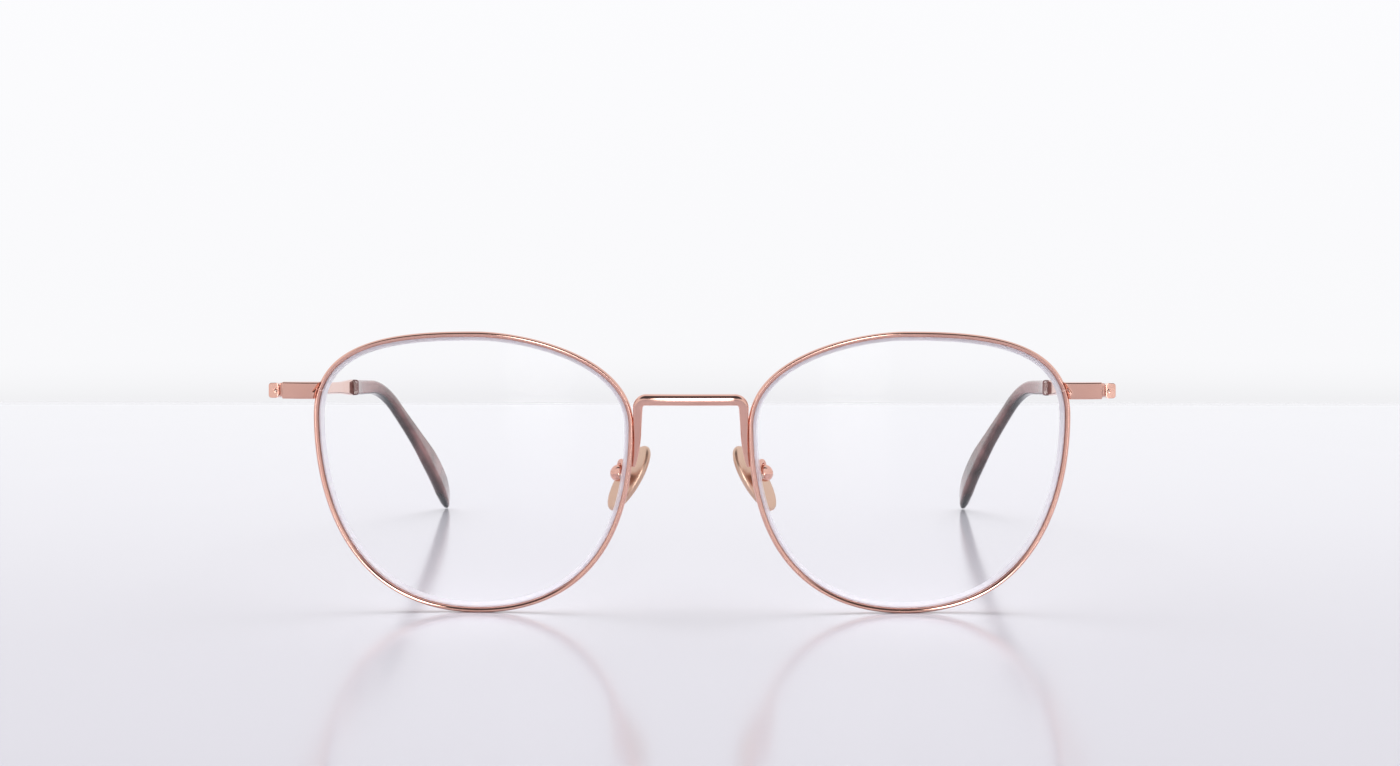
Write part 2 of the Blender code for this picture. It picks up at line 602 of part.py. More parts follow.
def build_pad(side, word, root):
    """The pad turns about its screw, so its empty stands on the screw's axis."""
    width_axis = Vector((side * sin(PAD_SPLAY), cos(PAD_SPLAY), sin(PAD_SPLAY) * tan(PAD_FLARE)))
    width_axis.normalize()
    long_axis = Vector((-side * sin(PAD_FLARE), 0, cos(PAD_FLARE)))
    normal = width_axis.cross(long_axis) * side
    turn = Matrix((width_axis, long_axis * side, normal)).transposed()
    centre = Vector((side * PAD_CENTRE[0], PAD_CENTRE[1], PAD_CENTRE[2]))
    pivot_place = centre + normal * PAD_BOX_HEIGHT
    still = add_empty("pad_mount_" + word, root, pivot_place, turn.to_euler())
    pad_empty = add_empty("pad_pivot_" + word, root, pivot_place, turn.to_euler())

    width, length, thickness = PAD_SIZE
    bm = bmesh.new()
    bmesh.ops.create_uvsphere(bm, u_segments=20, v_segments=8, radius=1.0)
    bmesh.ops.scale(bm, vec=(width / 2, length / 2, thickness * 0.62), verts=bm.verts)
    flat = thickness / 2
    for vertex in bm.verts:
        vertex.co.z = max(-flat, min(flat, vertex.co.z))
    bmesh.ops.dissolve_limit(bm, angle_limit=radians(1), verts=bm.verts, edges=bm.edges)
    bmesh.ops.translate(bm, vec=(0, 0, -PAD_BOX_HEIGHT), verts=bm.verts)
    add_object("nose_pad_" + word, mesh_from_bmesh("nose_pad_" + word, bm), pad_empty,
               look=PAD_LOOK)

    post_low = flat + TOUCH_GAP - PAD_BOX_HEIGHT
    post_high = PAD_POST_TOP
    post = box_mesh("pad_post_" + word, (PAD_POST[0], PAD_POST[1], post_high - post_low),
                    (0, 0, (post_low + post_high) / 2))
    post_obj = add_object(post.name, post, pad_empty, look=PAD_LOOK)
    hole_turn = (0, pi / 2, 0)
    hole = cylinder_mesh("post_hole_" + word, PAD_SCREW_RADIUS + PIN_CLEARANCE,
                         -CUT_PAST, CUT_PAST, 16)
    add_boolean(post_obj, add_cutter(hole.name, hole, pad_empty, rotation=hole_turn))

    shell = cylinder_mesh("pad_box_" + word, PAD_BOX_RADIUS, -PAD_BOX_DEPTH / 2,
                          PAD_BOX_DEPTH / 2, 24)
    shell_obj = add_object(shell.name, shell, still)
    pocket = box_mesh("pad_pocket_" + word, (PAD_POCKET[0], PAD_POCKET[1], PAD_BOX_DEPTH),
                      (0, 0, -PAD_POCKET_SHIFT))
    add_boolean(shell_obj, add_cutter(pocket.name, pocket, still))
    screw_hole = cylinder_mesh("box_hole_" + word, PAD_SCREW_RADIUS + TOUCH_GAP,
                               -CUT_PAST, CUT_PAST, 16)
    add_boolean(shell_obj, add_cutter(screw_hole.name, screw_hole, still, rotation=hole_turn))

    reach = PAD_BOX_RADIUS
    pin = cylinder_mesh("pad_screw_" + word, PAD_SCREW_RADIUS, -reach - TOUCH_GAP * 2, reach, 16)
    screw = add_object(pin.name, pin, still, rotation=hole_turn, look=SCREW)
    head = cylinder_mesh("pad_screw_head_" + word, PAD_SCREW_HEAD_RADIUS,
                         -reach - TOUCH_GAP - PAD_HEAD_HEIGHT, -reach - TOUCH_GAP, 16)
    add_boolean(screw, add_cutter(head.name, head, still, rotation=hole_turn), "UNION")
    return pivot_place, normal


def build_pad_arm(side, word, root, pivot, normal):
    """A goose-neck wire from the back of the rim to the box that holds the pad."""
    start = Vector((side * PAD_ARM_START[0], PAD_ARM_START[1], PAD_ARM_START[2]))
    leaves = Vector(PAD_ARM_LEAVES).normalized() * PAD_ARM_LEAD
    leaves.x *= side
    end = pivot + normal * (PAD_BOX_DEPTH / 2 + TOUCH_GAP)
    arrives = normal * PAD_ARM_LOOP
    handles = ((start - leaves, start + leaves), (end + arrives, end - arrives))
    mesh = wire_mesh("pad_arm_" + word, (start, end), handles, bevel_depth=PAD_ARM_RADIUS,
                     bevel_resolution=2, resolution_u=12)
    add_object("pad_arm_" + word, mesh, root)


clear_scene()
parts = new_collection("round_wire_eyeglasses")
cutters = new_collection("cutters")

root = add_empty("glasses", None, (0, FRONT_Y, 0))
front = add_empty("front", root, (0, 0, EYE_CENTRE_Z), (FRONT_TILT, 0, 0))
build_bridge(front)
for side, word in SIDES:
    eye = add_empty("eye_" + word, front, (side * EYE_CENTRE_X, 0, 0),
                    (pi / 2, 0, side * EYE_WRAP))
    rim_clearance = build_rim(side, word, eye)
    build_lens(side, word, eye)
    build_endpiece(side, word, root, rim_clearance)
    build_lock(side, word, root, rim_clearance)
    temple = add_empty("temple_pivot_" + word, root, (side * HINGE_X, HINGE_Y, STRAP_Z))
    build_hinge(side, word, root, temple)
    build_arm(side, word, temple)
    build_tip(side, word, temple)
    pivot, normal = build_pad(side, word, root)
    build_pad_arm(side, word, root, pivot, normal)
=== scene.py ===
"""Looks for the round wire eyeglasses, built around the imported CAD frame.

World axes: +X to the wearer's left, +Y from the lenses towards the ears, +Z up, metres.
Every CAD node is replaced by a smooth piece made from the same driving dimensions.
"""
from math import acos, cos, pi, radians, sin, tan

import bmesh
import bpy
import numpy as np
from mathutils import Euler, Matrix, Vector


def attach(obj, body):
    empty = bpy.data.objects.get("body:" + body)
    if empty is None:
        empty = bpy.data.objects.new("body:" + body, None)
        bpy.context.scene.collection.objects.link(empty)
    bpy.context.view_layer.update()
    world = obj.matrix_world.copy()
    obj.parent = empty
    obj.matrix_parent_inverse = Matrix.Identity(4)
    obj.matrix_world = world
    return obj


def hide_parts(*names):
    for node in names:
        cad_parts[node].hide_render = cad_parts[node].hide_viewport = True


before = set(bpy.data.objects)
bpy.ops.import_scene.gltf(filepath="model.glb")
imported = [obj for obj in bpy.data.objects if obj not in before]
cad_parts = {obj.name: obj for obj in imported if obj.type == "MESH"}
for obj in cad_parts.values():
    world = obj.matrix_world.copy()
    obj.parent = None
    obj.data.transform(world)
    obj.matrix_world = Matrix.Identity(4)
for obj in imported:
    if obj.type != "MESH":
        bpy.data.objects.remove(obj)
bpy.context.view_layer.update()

MM = 0.001
LEFT, RIGHT = 1, -1
SIDES = ((LEFT, "left"), (RIGHT, "right"))

# Camera and stage
CAMERA_PLACE = Vector((9.77, -526.21, 78.23)) * MM
CAMERA_PITCH = radians(5.022)   # down
CAMERA_YAW = radians(1.030)     # towards -X
CAMERA_ROLL = radians(-0.057)
CAMERA_LENS = 74.2              # mm
CAMERA_SENSOR = 36.0            # mm wide
CAMERA_NEAR = 0.01
TABLE_BACK_Y = 0.303            # the table's far edge
TABLE_HALF_WIDTH = 2.5
TABLE_FRONT_Y = -3.0
TABLE_FADE = 0.012              # how far in front of its edge it starts to fade
RAMP_SHIFT = 0.5                # added so that a ramp from 0 to 1 also covers what is below 0
TABLE_TONES_WITH_SHADE = (                 # shifted Y, colour: the pale board with painted shade, greyer towards the front
    (0.0, (0.74, 0.72, 0.79)),
    (0.40, (0.74, 0.72, 0.79)),
    (0.62, (0.81, 0.80, 0.85)),
    (0.80, (0.85, 0.85, 0.88)),
)
TABLE_IOR = 1.38

# Room and light
CEILING_TOWARDS = (0.0, -0.6, 0.8)
ROOM_TONES = (                  # cosine to the ceiling's direction, colour
    (0.65, (0.94, 0.94, 0.96)),
    (0.79, (0.08, 0.08, 0.09)),
)
WINDOW_LEVEL = 8.0
WINDOW_ACROSS = ((0.07, 1.0), (0.11, 0.0))      # sideways part of a direction, light
WINDOW_UP = ((0.38, 0.0), (0.43, 1.0), (0.85, 1.0), (0.95, 0.0))    # shifted Z, light
BACKDROP_TONES_WITH_SHADE = (              # shifted Z of a direction, colour: painted shade makes the backdrop darker towards the bottom, near the table's far edge
    (0.4080, (0.863, 0.863, 0.880)),
    (0.4116, (0.905, 0.905, 0.922)),
    (0.4203, (0.947, 0.947, 0.965)),
    (0.56, (0.974, 0.974, 0.991)),
)
LAMP_PLACE = (0.0, 0.28, 0.70)
LAMP_TARGET = (0.0, 0.15, 0.0)
LAMP_SIZE = (1.0, 0.6)
LAMP_POWER = 3.1

# Materials. Metals: dark and light colour, least and most roughness, strength of the marks
ROSE_GOLD = ((0.77, 0.44, 0.355), (0.83, 0.50, 0.41), 0.05, 0.12, 0.10)
SCREW_METAL = ((0.66, 0.48, 0.40), (0.78, 0.60, 0.50), 0.14, 0.26, 0.20)
PAD_SATIN = ((0.68, 0.46, 0.34), (0.76, 0.53, 0.41), 0.28, 0.42, 0.30)
LENS_TINTS = ((0.3, (0.992, 0.991, 1.0)), (0.7, (0.996, 0.995, 1.0)))
LENS_EDGE_TINTS = ((0.3, (0.88, 0.85, 0.92)), (0.7, (0.95, 0.92, 0.96)))
LENS_IOR = 1.1
ACETATE_STREAKS = ((0.34, (0.110, 0.056, 0.052)), (0.62, (0.370, 0.190, 0.180)))
# near black for faces that look down: painted shade
ACETATE_DARK_AND_SHADE = (0.012, 0.016, 0.017, 1.0)
ACETATE_SHADE_BY_FACING = ((0.15, 0.0), (0.55, 1.0))       # normal's Z + 1, share of the streaks; faces that look down get painted shade, near black
ACETATE_IOR = 1.46

# Where the front stands
FRONT_Y = -66.31 * MM
FRONT_TILT = radians(4.0)
EYE_CENTRE_X = 35.5 * MM
EYE_CENTRE_Z = 22.784 * MM
EYE_WRAP = radians(3.0)
LENS_SAG_RADIUS = 125.0 * MM
EYE_KNOTS = (                   # (out, up), direction of travel, handle before, handle after
    ((25.4, 9.0), (0, 1), 14.0, 12.0),
    ((-1.0, 22.6), (-1, 0), 13.2, 7.8),
    ((-25.7, 7.6), (0, -1), 11.2, 21.0),
    ((-0.4, -22.6), (1, 0), 15.0, 20.4),
)
EYE_POINTS = 50                 # outline points between two knots

# Fits
CUT_PAST = 4 * MM               # how far a cutter runs past what it cuts
CUT_SHORT = 1 * MM              # the same where other metal is near
TOUCH_GAP = 0.05 * MM           # room between two pieces that meet
SLOT_LENGTH = 2 * MM            # a screw slot's cutter, longer than any head

# Rim wire and lens
RIM_WIDTH = 0.90 * MM
RIM_DEPTH = 1.8 * MM
RIM_MID_DEPTH = 0.9 * MM
GROOVE_DEPTH = 0.28 * MM
GROOVE_HALF_WIDTH = 0.55 * MM
RIM_ARC = radians(100)          # half the turn of its rounded outer side
RIM_LIP = (                     # in from the wire's inner side, past the groove's edge
    (0.10 * MM, 0.18 * MM),
    (0.0, 0.04 * MM),
    (0.03 * MM, -0.08 * MM),
)
LENS_INSET = 0.40 * MM
LENS_THICKNESS = 1.9 * MM
LENS_BEVEL = 0.58 * MM          # width of the V edge's two slopes
LENS_EDGE_FLAT = 0.36 * MM
LENS_ROWS = 14

# Rim lock
LOCK_UP = 13.15 * MM
LOCK_SPLIT = 0.16 * MM
LOCK_Z = 36.28 * MM
LOCK_BLOCK = (2.6 * MM, 1.9 * MM, 1.10 * MM)
LOCK_BLOCK_X = 61.6 * MM        # its inner end is shaped to the rim
LOCK_SCREW_X = 62.0 * MM
LOCK_BLOCK_Y = 5.65 * MM
LOCK_SCREW_RADIUS = 0.40 * MM
LOCK_HEAD_RADIUS = 0.72 * MM
LOCK_HEAD_HEIGHT = 0.25 * MM
LOCK_HEAD_EDGE = 0.10 * MM
LOCK_SLOT = (0.18 * MM, 0.24 * MM)          # width, twice the depth
LOCK_BEVEL = 0.15 * MM

# Endpieces and hinges
STRAP_Z = 36.3 * MM
STRAP_HEIGHT = 2.7 * MM
STRAP_PLAN = ((59.25, 2.60), (63.2, 2.60), (66.15, 3.05), (66.15, 4.5), (59.25, 4.5))
STRAP_NOTCH = ((58.5, 1.25), (60.2, 1.25), (61.2, -0.20), (61.0, -0.32), (58.5, -0.32))
STRAP_NOTCH_SLOPE = 0.50        # depth gained per length upwards
SEAM_OVERLAP = 0.35             # how near the rim's crest a fixed piece may come, 0 at the crest
STRAP_BEVEL = 0.22 * MM
HINGE_X = 64.9 * MM
HINGE_Y = 5.95 * MM
KNUCKLE_RADIUS = 0.95 * MM
KNUCKLE_HEIGHT = 0.69 * MM
KNUCKLE_GAP = 0.05 * MM
HINGE_WEB = 0.8 * MM
HINGE_WEB_START = 0.5 * MM
LEAF_INNER_X = 64.0 * MM        # the leaf behind the strap also closes the gap to the arm
LEAF_OUTER_X = 66.66 * MM
LEAF_FRONT_Y = 4.55 * MM
LEAF_BACK_Y = 5.5 * MM
PIN_RADIUS = 0.40 * MM
PIN_CLEARANCE = 0.05 * MM
PIN_HEAD_RADIUS = 0.62 * MM
PIN_HEAD_HEIGHT = 0.30 * MM
PIN_SLOT = (0.16 * MM, 0.30 * MM)           # width, twice the depth
PIN_SLOT_TURN = radians(35)
HINGE_EDGE = 0.08 * MM
HINGE_WEB_PLAY = 0.02 * MM

# Temples
TEMPLE_SLOPE = radians(4.76)
ARM_FRONT_Y = 3.3
ARM_FRONT_Z = 36.3
ARM_FACE_X = 66.55 * MM         # inner face, where the hinge's web is fixed
ARM_STATIONS = (                # behind the front datum, out from the middle, height, thickness
    (3.3, 67.52, 2.45, 1.56),
    (9.0, 67.48, 2.45, 1.62),
    (14.0, 67.45, 2.10, 1.25),
    (45.0, 67.20, 2.10, 1.20),
    (70.0, 66.65, 2.20, 1.20),
    (81.95, 66.05, 3.00, 1.30),
)
ARM_ROWS = 90
ARM_EDGES = (0.05, 0.10)        # rounding of its front and back end
ARM_CORNER = 0.3                # roundness along it
STUD_X = 67.15 * MM
STUD_RADIUS = 0.26 * MM
STUD_RISE = 0.24 * MM
STUD_WELL_RADIUS = 0.35 * MM
STUD_WELL_DEPTH = 0.30 * MM
CORE_RADIUS = 0.50 * MM
CORE_X = 66.0
CORE_START = 0.3                # ahead of the tip
CORE_LENGTH = 8.3 * MM
CORE_TURN = radians(7.0)        # inwards
CORE_CLEARANCE = 0.08 * MM
TIP_START_Y = 82.0
TIP_START_X = 65.62
TIP_INWARDS = 12.2
TIP_EASE = 0.91
TIP_STRAIGHT = 12.0
TIP_BEND_RADIUS = 21.0
TIP_END_SLOPE = radians(40.73)
TIP_LENGTH = 61.0
TIP_STEP = 0.25                 # length of one step along its bend
TIP_ROWS = 120
TIP_EDGES = (0.20, 0.20)        # rounding of its front and back end
TIP_CORNERS = (0.24, 0.40)      # roundness at its front end and further back
TIP_STATIONS = (                # distance along the tip, height, thickness
    (0.0, 2.95, 2.25),
    (16.0, 2.55, 2.45),
    (25.0, 2.45, 2.40),
    (35.0, 3.20, 2.40),
    (45.0, 4.80, 2.50),
    (52.0, 4.90, 2.40),
    (57.0, 3.50, 2.00),
    (60.0, 1.70, 1.20),
    (61.0, 0.60, 0.50),
)

# Wires
WIRE_BACK = (0.0, 1.0, -0.12)   # the direction that a wire's flatter sides face
WIRE_DOME = 0.35                # how far an end bulges, as a share of the radius
DOME_STEPS = 5

# Bridge: knot (out, back, up), direction of travel, handle length, radius
BRIDGE_KNOTS = (
    ((0.0, 1.22, 12.20), (1.0, 0.0, 0.0), 2.40, 0.90),
    ((7.2, 1.40, 12.20), (1.0, 0.10, 0.0), 0.75, 0.90),
    ((8.5, 1.60, 10.80), (0.0, 0.1, -1.0), 0.75, 0.78),
    ((8.6, 1.90, 7.00), (0.0, 0.1, -1.0), 1.20, 0.64),
    ((8.8, 2.20, 4.20), (0.1, 0.1, -1.0), 0.90, 0.56),
    ((9.3, 2.35, 1.20), (0.3, 0.1, -1.0), 0.90, 0.30),
)

BRIDGE_STEPS = 16               # points between two knots
BRIDGE_SIDES = 48
BRIDGE_ROUNDNESS = 2.5

# Nose pads
PAD_CENTRE = (10.25, 8.0, 21.5)
PAD_SIZE = (6.8 * MM, 12.0 * MM, 1.1 * MM)
PAD_RINGS = (0.3, 0.6, 0.8)     # rings of its flat faces, as shares of its half size
PAD_ROUND = 0.10                # width of its rounded edge, as such a share
PAD_SPLAY = radians(24.0)
PAD_FLARE = radians(31.0)
PAD_BOX_HEIGHT = 2.2 * MM
PAD_BOX_RADIUS = 1.40 * MM
PAD_BOX_DEPTH = 2.0 * MM
PAD_BOX_DOME = 0.30 * MM
PAD_BOX_EDGES = (0.9 * MM, 1.25 * MM)       # how far its two ends are rounded
PAD_POCKET = (1.25 * MM, 1.45 * MM)
PAD_POCKET_BEVEL = 0.12 * MM
PAD_POST = (1.00 * MM, 1.10 * MM)
PAD_POST_BEVEL = 0.10 * MM
PAD_SCREW_RADIUS = 0.30 * MM
PAD_SCREW_HEAD_RADIUS = 0.52 * MM
PAD_POST_TOP = 0.62 * MM
PAD_POCKET_SHIFT = 0.30 * MM
PAD_HEAD_HEIGHT = 0.25 * MM
PAD_HEAD_EDGES = (0.12 * MM, 0.04 * MM)
PAD_SLOT = (0.14 * MM, 0.18 * MM)           # width, twice the depth
PAD_ARM_RADIUS = 0.42 * MM
PAD_ARM_START = (10.38, 3.12, 22.1)
PAD_ARM_LEAVES = (0.3, 1.8, 2.0)            # its handle at the rim
PAD_ARM_ARRIVES = (-0.10, 0.25, 1.0)        # it comes down on the box from above
PAD_ARM_REACH = 1.05 * MM
PAD_ARM_LOOP = 2.0 * MM


# ---------------------------------------------------------------- mesh tools

def to_mesh(name, bm):
    bmesh.ops.recalc_face_normals(bm, faces=bm.faces)
    mesh = bpy.data.meshes.new(name)
    bm.to_mesh(mesh)
    bm.free()
    return mesh


def moved(mesh, matrix):
    mesh.transform(matrix)
    if matrix.determinant() < 0:
        mesh.flip_normals()
    return mesh


def skin(name, rows, closed=False):
    """Skins rows of points that each run round a section. An open row of sections gets caps."""
    bm = bmesh.new()
    rings = [[bm.verts.new(point) for point in row] for row in rows]
    count = len(rings[0])
    pairs = list(zip(rings, rings[1:])) + ([(rings[-1], rings[0])] if closed else [])
    for near, far in pairs:
        for i in range(count):
            j = (i + 1) % count
            bm.faces.new((near[i], near[j], far[j], far[i]))
    if not closed:
        bm.faces.new(rings[0])
        bm.faces.new(rings[-1])
    return to_mesh(name, bm)


def lathe(name, profile, segments=48, stretch=(1.0, 1.0)):
    """A solid turned about Z from (radius, height) points that start and end on the axis."""
    bm = bmesh.new()
    turns = [2 * pi * i / segments for i in range(segments)]
    start = bm.verts.new((0, 0, profile[0][1]))
    end = bm.verts.new((0, 0, profile[-1][1]))
    rings = [[bm.verts.new((radius * cos(a) * stretch[0], radius * sin(a) * stretch[1], height))
              for a in turns] for radius, height in profile[1:-1]]
    for i in range(segments):
        j = (i + 1) % segments
        bm.faces.new((start, rings[0][j], rings[0][i]))
        bm.faces.new((end, rings[-1][i], rings[-1][j]))
        for near, far in zip(rings, rings[1:]):
            bm.faces.new((near[i], near[j], far[j], far[i]))
    return to_mesh(name, bm)


def rounded_profile(radius, low, high, edge, top_edge=None, steps=6):
    """Profile of a disc whose lower and upper edges are rounded."""
    top_edge = top_edge or edge
    points = [(0.0, low)]
    for i in range(steps + 1):
        a = -pi / 2 + pi / 2 * i / steps
        points.append((radius - edge + edge * cos(a), low + edge + edge * sin(a)))
    for i in range(steps + 1):
        a = pi / 2 * i / steps
        points.append((radius - top_edge + top_edge * cos(a),
                       high - top_edge + top_edge * sin(a)))
    return points + [(0.0, high)]


def box(name, size, centre=(0, 0, 0)):
    bm = bmesh.new()
    bmesh.ops.create_cube(bm, size=1.0)
    bmesh.ops.scale(bm, vec=Vector(size), verts=bm.verts)
    bmesh.ops.translate(bm, vec=Vector(centre), verts=bm.verts)
    return to_mesh(name, bm)


def disc(name, radius, low, high, segments=48):
    return lathe(name, [(0, low), (radius, low), (radius, high), (0, high)], segments)


def with_modifier(mesh, kind, tool=None, **settings):
    """The mesh after one modifier, for a Boolean with another mesh as the tool."""
    obj = bpy.data.objects.new(mesh.name, mesh)
    helpers = [obj]
    modifier = obj.modifiers.new(kind, kind)
    for key, value in settings.items():
        setattr(modifier, key, value)
    if tool:
        helpers.append(bpy.data.objects.new("tool", tool))
        modifier.object = helpers[1]
    for helper in helpers:
        bpy.context.scene.collection.objects.link(helper)
    bpy.context.view_layer.update()
    graph = bpy.context.evaluated_depsgraph_get()
    result = bpy.data.meshes.new_from_object(obj.evaluated_get(graph))
    for helper in helpers:
        bpy.data.objects.remove(helper, do_unlink=True)
    return result


def cut(mesh, tool):
    return with_modifier(mesh, "BOOLEAN", tool, operation="DIFFERENCE")


def join(mesh, tool):
    return with_modifier(mesh, "BOOLEAN", tool, operation="UNION")


def bevelled(mesh, width, segments=4):
    return with_modifier(mesh, "BEVEL", width=width, segments=segments, limit_method="ANGLE",
                         angle_limit=radians(32), harden_normals=False)


def add_piece(name, mesh, body, node, materials, smooth=35):
    """Puts a finished mesh in the scene in place of its CAD node."""
    mesh.shade_smooth()
    mesh.set_sharp_from_angle(angle=radians(smooth))
    for material in materials:
        mesh.materials.append(material)
    mesh = with_modifier(mesh, "WEIGHTED_NORMAL", keep_sharp=True)
    mesh.name = name
    piece = bpy.data.objects.new(name, mesh)
    bpy.context.scene.collection.objects.link(piece)
    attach(piece, body)
    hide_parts(node)
    return piece


# ---------------------------------------------------------------- curves and frames

def bezier(start, leave, arrive, end, steps):
    """Points of one cubic from start, without its end."""
    t = np.linspace(0, 1, steps, endpoint=False)[:, None]
    start, leave, arrive, end = (np.array(p, float) for p in (start, leave, arrive, end))
    return ((1 - t) ** 3 * start + 3 * t * (1 - t) ** 2 * leave + 3 * t ** 2 * (1 - t) * arrive
            + t ** 3 * end)


def smooth_table(stations, places):
    """Values of a table of stations at other places, smooth and without overshoot."""
    stations = np.array(stations, float)
    x, y = stations[:, 0], stations[:, 1:]
    width = np.diff(x)[:, None]
    slope = np.diff(y, axis=0) / width
    tangent = np.zeros_like(y)
    same = slope[:-1] * slope[1:] > 0
    safe = np.where(same, slope[:-1] + slope[1:], 1.0)
    tangent[1:-1] = np.where(same, 2 * slope[:-1] * slope[1:] / safe, 0.0)
    tangent[0], tangent[-1] = slope[0], slope[-1]
    i = np.clip(np.searchsorted(x, places, side="right") - 1, 0, len(x) - 2)
    h = width[i]
    t = ((places - x[i]) / h[:, 0])[:, None]
    return ((1 + 2 * t) * (1 - t) ** 2 * y[i] + t * (1 - t) ** 2 * h * tangent[i]
            + t * t * (3 - 2 * t) * y[i + 1] + t * t * (t - 1) * h * tangent[i + 1])


def tube(name, points, radii, sides=32, roundness=2.0):
    """A wire along a path, with domed ends. Roundness 2 is a circle, more is flatter in front."""
    points = np.array(points, float)
    radii = np.broadcast_to(radii, len(points))
    tangents = np.gradient(points, axis=0)
    tangents /= np.linalg.norm(tangents, axis=1)[:, None]
    across = np.cross(tangents[0], WIRE_BACK)
    across = np.cross(tangents[0], across)
    rows = []
    turns = np.linspace(0, 2 * pi, sides, endpoint=False)[:, None]
    away = np.sign(np.cos(turns)) * np.abs(np.cos(turns)) ** (2 / roundness)
    aside = np.sign(np.sin(turns)) * np.abs(np.sin(turns)) ** (2 / roundness)

    def ring(centre, tangent, radius):
        side = across / np.linalg.norm(across)
        up = np.cross(tangent, side)
        return centre + radius * (away * side + aside * up)

    dome = [(pi / 2) * i / DOME_STEPS for i in range(1, DOME_STEPS)]
    for a in dome:
        rows.append(ring(points[0] - tangents[0] * radii[0] * WIRE_DOME * cos(a), tangents[0],
                         radii[0] * sin(a)))
    for point, tangent, radius in zip(points, tangents, radii):
        across = across - tangent * np.dot(across, tangent)
        rows.append(ring(point, tangent, radius))
    for a in reversed(dome):
        rows.append(ring(points[-1] + tangents[-1] * radii[-1] * WIRE_DOME * cos(a), tangents[-1],
                         radii[-1] * sin(a)))
    return skin(name, rows)


def soft_ring(centre, across, up, width, height, corner, steps=6):
    """A rounded rectangle of points about centre; corner is a share of its shorter side."""
    radius = corner * min(width, height)
    ring = []
    for quarter, (sx, sy) in enumerate(((1, 1), (-1, 1), (-1, -1), (1, -1))):
        for step in range(steps + 1):
            angle = (quarter + step / steps) * pi / 2
            x = sx * (width / 2 - radius) + radius * cos(angle)
            y = sy * (height / 2 - radius) + radius * sin(angle)
            ring.append(centre + across * x + up * y)
    return ring


def eye_matrix(side):
    """The lens plane's frame: x across, y up, z to the front."""
    return (Matrix.Translation((0, FRONT_Y, EYE_CENTRE_Z)) @ Matrix.Rotation(FRONT_TILT, 4, "X")
            @ Matrix.Translation((side * EYE_CENTRE_X, 0, 0))
            @ Matrix.Rotation(side * EYE_WRAP, 4, "Z") @ Matrix.Rotation(pi / 2, 4, "X"))


def eye_outline():
    """The lens shape for +X out, as points and outward normals, from the temple side upwards."""
    runs = []
    for near, far in zip(EYE_KNOTS, EYE_KNOTS[1:] + EYE_KNOTS[:1]):
        (p0, d0, _, after), (p1, d1, before, _) = near, far
        leave = np.array(p0) + np.array(d0) * after
        arrive = np.array(p1) - np.array(d1) * before
        runs.append(bezier(p0, leave, arrive, p1, EYE_POINTS))
    points = np.vstack(runs) * MM
    travel = np.roll(points, -1, axis=0) - np.roll(points, 1, axis=0)
    normals = np.stack([travel[:, 1], -travel[:, 0]], axis=1)
    return points, normals / np.linalg.norm(normals, axis=1)[:, None]


def split_outline():
    """The outline as an open run, from just above the rim's split round to just below it."""
    points, normals = eye_outline()
    above = next(i for i in range(EYE_POINTS) if points[i, 1] > LOCK_UP)
    points, normals = np.roll(points, -above, axis=0), np.roll(normals, -above, axis=0)
    ends = []
    for height in (LOCK_UP + LOCK_SPLIT / 2, LOCK_UP - LOCK_SPLIT / 2):
        share = (height - points[-1, 1]) / (points[0, 1] - points[-1, 1])
        ends.append(points[-1] + (points[0] - points[-1]) * share)
    keep = (points[:, 1] > ends[0][1]) | (np.arange(len(points)) > 2)
    keep &= ~((points[:, 1] > ends[1][1]) & (np.arange(len(points)) > len(points) - 3))
    points = np.vstack([ends[0], points[keep], ends[1]])
    normals = np.vstack([normals[0], normals[keep], normals[-1]])
    return points, normals


def sagged(plane_points, depths):
    """Points of the lens plane put onto the lens's curve and moved to the front along its normal."""
    radius2 = (plane_points ** 2).sum(-1)
    z = depths - radius2 / (2 * LENS_SAG_RADIUS) - RIM_MID_DEPTH
    spread = plane_points * (1 + depths[..., None] / LENS_SAG_RADIUS)
    return np.concatenate([spread, z[..., None]], axis=-1)


def front_point(x, y, z):
    """A point given in mm in the tilted front's frame, whose origin is between the eyes."""
    turn = Matrix.Translation((0, FRONT_Y, EYE_CENTRE_Z)) @ Matrix.Rotation(FRONT_TILT, 4, "X")
    return turn @ (Vector((x, y, z)) * MM)


def datum_point(x, y, z):
    """A point given in mm from the table, in the middle, level with the front datum."""
    return Vector((x, y, z)) * MM + Vector((0, FRONT_Y, 0))


# ---------------------------------------------------------------- materials

def new_material(name):
    material = bpy.data.materials.new(name)
    material.use_nodes = True
    tree = material.node_tree
    shader = tree.nodes["Principled BSDF"]
    place = tree.nodes.new("ShaderNodeTexCoord").outputs["Object"]
    return material, tree, shader, place


def noise(tree, place, scale, detail=4.0, stretch=None, distortion=0.0):
    if stretch:
        mapping = tree.nodes.new("ShaderNodeMapping")
        mapping.inputs["Scale"].default_value = stretch
        tree.links.new(place, mapping.inputs["Vector"])
        place = mapping.outputs["Vector"]
    node = tree.nodes.new("ShaderNodeTexNoise")
    node.inputs["Scale"].default_value = scale
    node.inputs["Detail"].default_value = detail
    node.inputs["Distortion"].default_value = distortion
    tree.links.new(place, node.inputs["Vector"])
    return node.outputs["Fac"]


def ramp(tree, factor, *stops):
    """A colour ramp; stops are (position, grey or colour)."""
    node = tree.nodes.new("ShaderNodeValToRGB")
    elements = node.color_ramp.elements
    while len(elements) < len(stops):
        elements.new(0.5)
    for element, (position, value) in zip(elements, stops):
        element.position = position
        colour = value if isinstance(value, tuple) else (value, value, value)
        element.color = (*colour, 1.0)
    tree.links.new(factor, node.inputs["Fac"])
    return node.outputs["Color"]


def math_node(tree, operation, a, b):
    node = tree.nodes.new("ShaderNodeMath")
    node.operation = operation
    for socket, value in zip(node.inputs, (a, b)):
        if isinstance(value, (int, float)):
            socket.default_value = value
        else:
            tree.links.new(value, socket)
    return node.outputs[0]


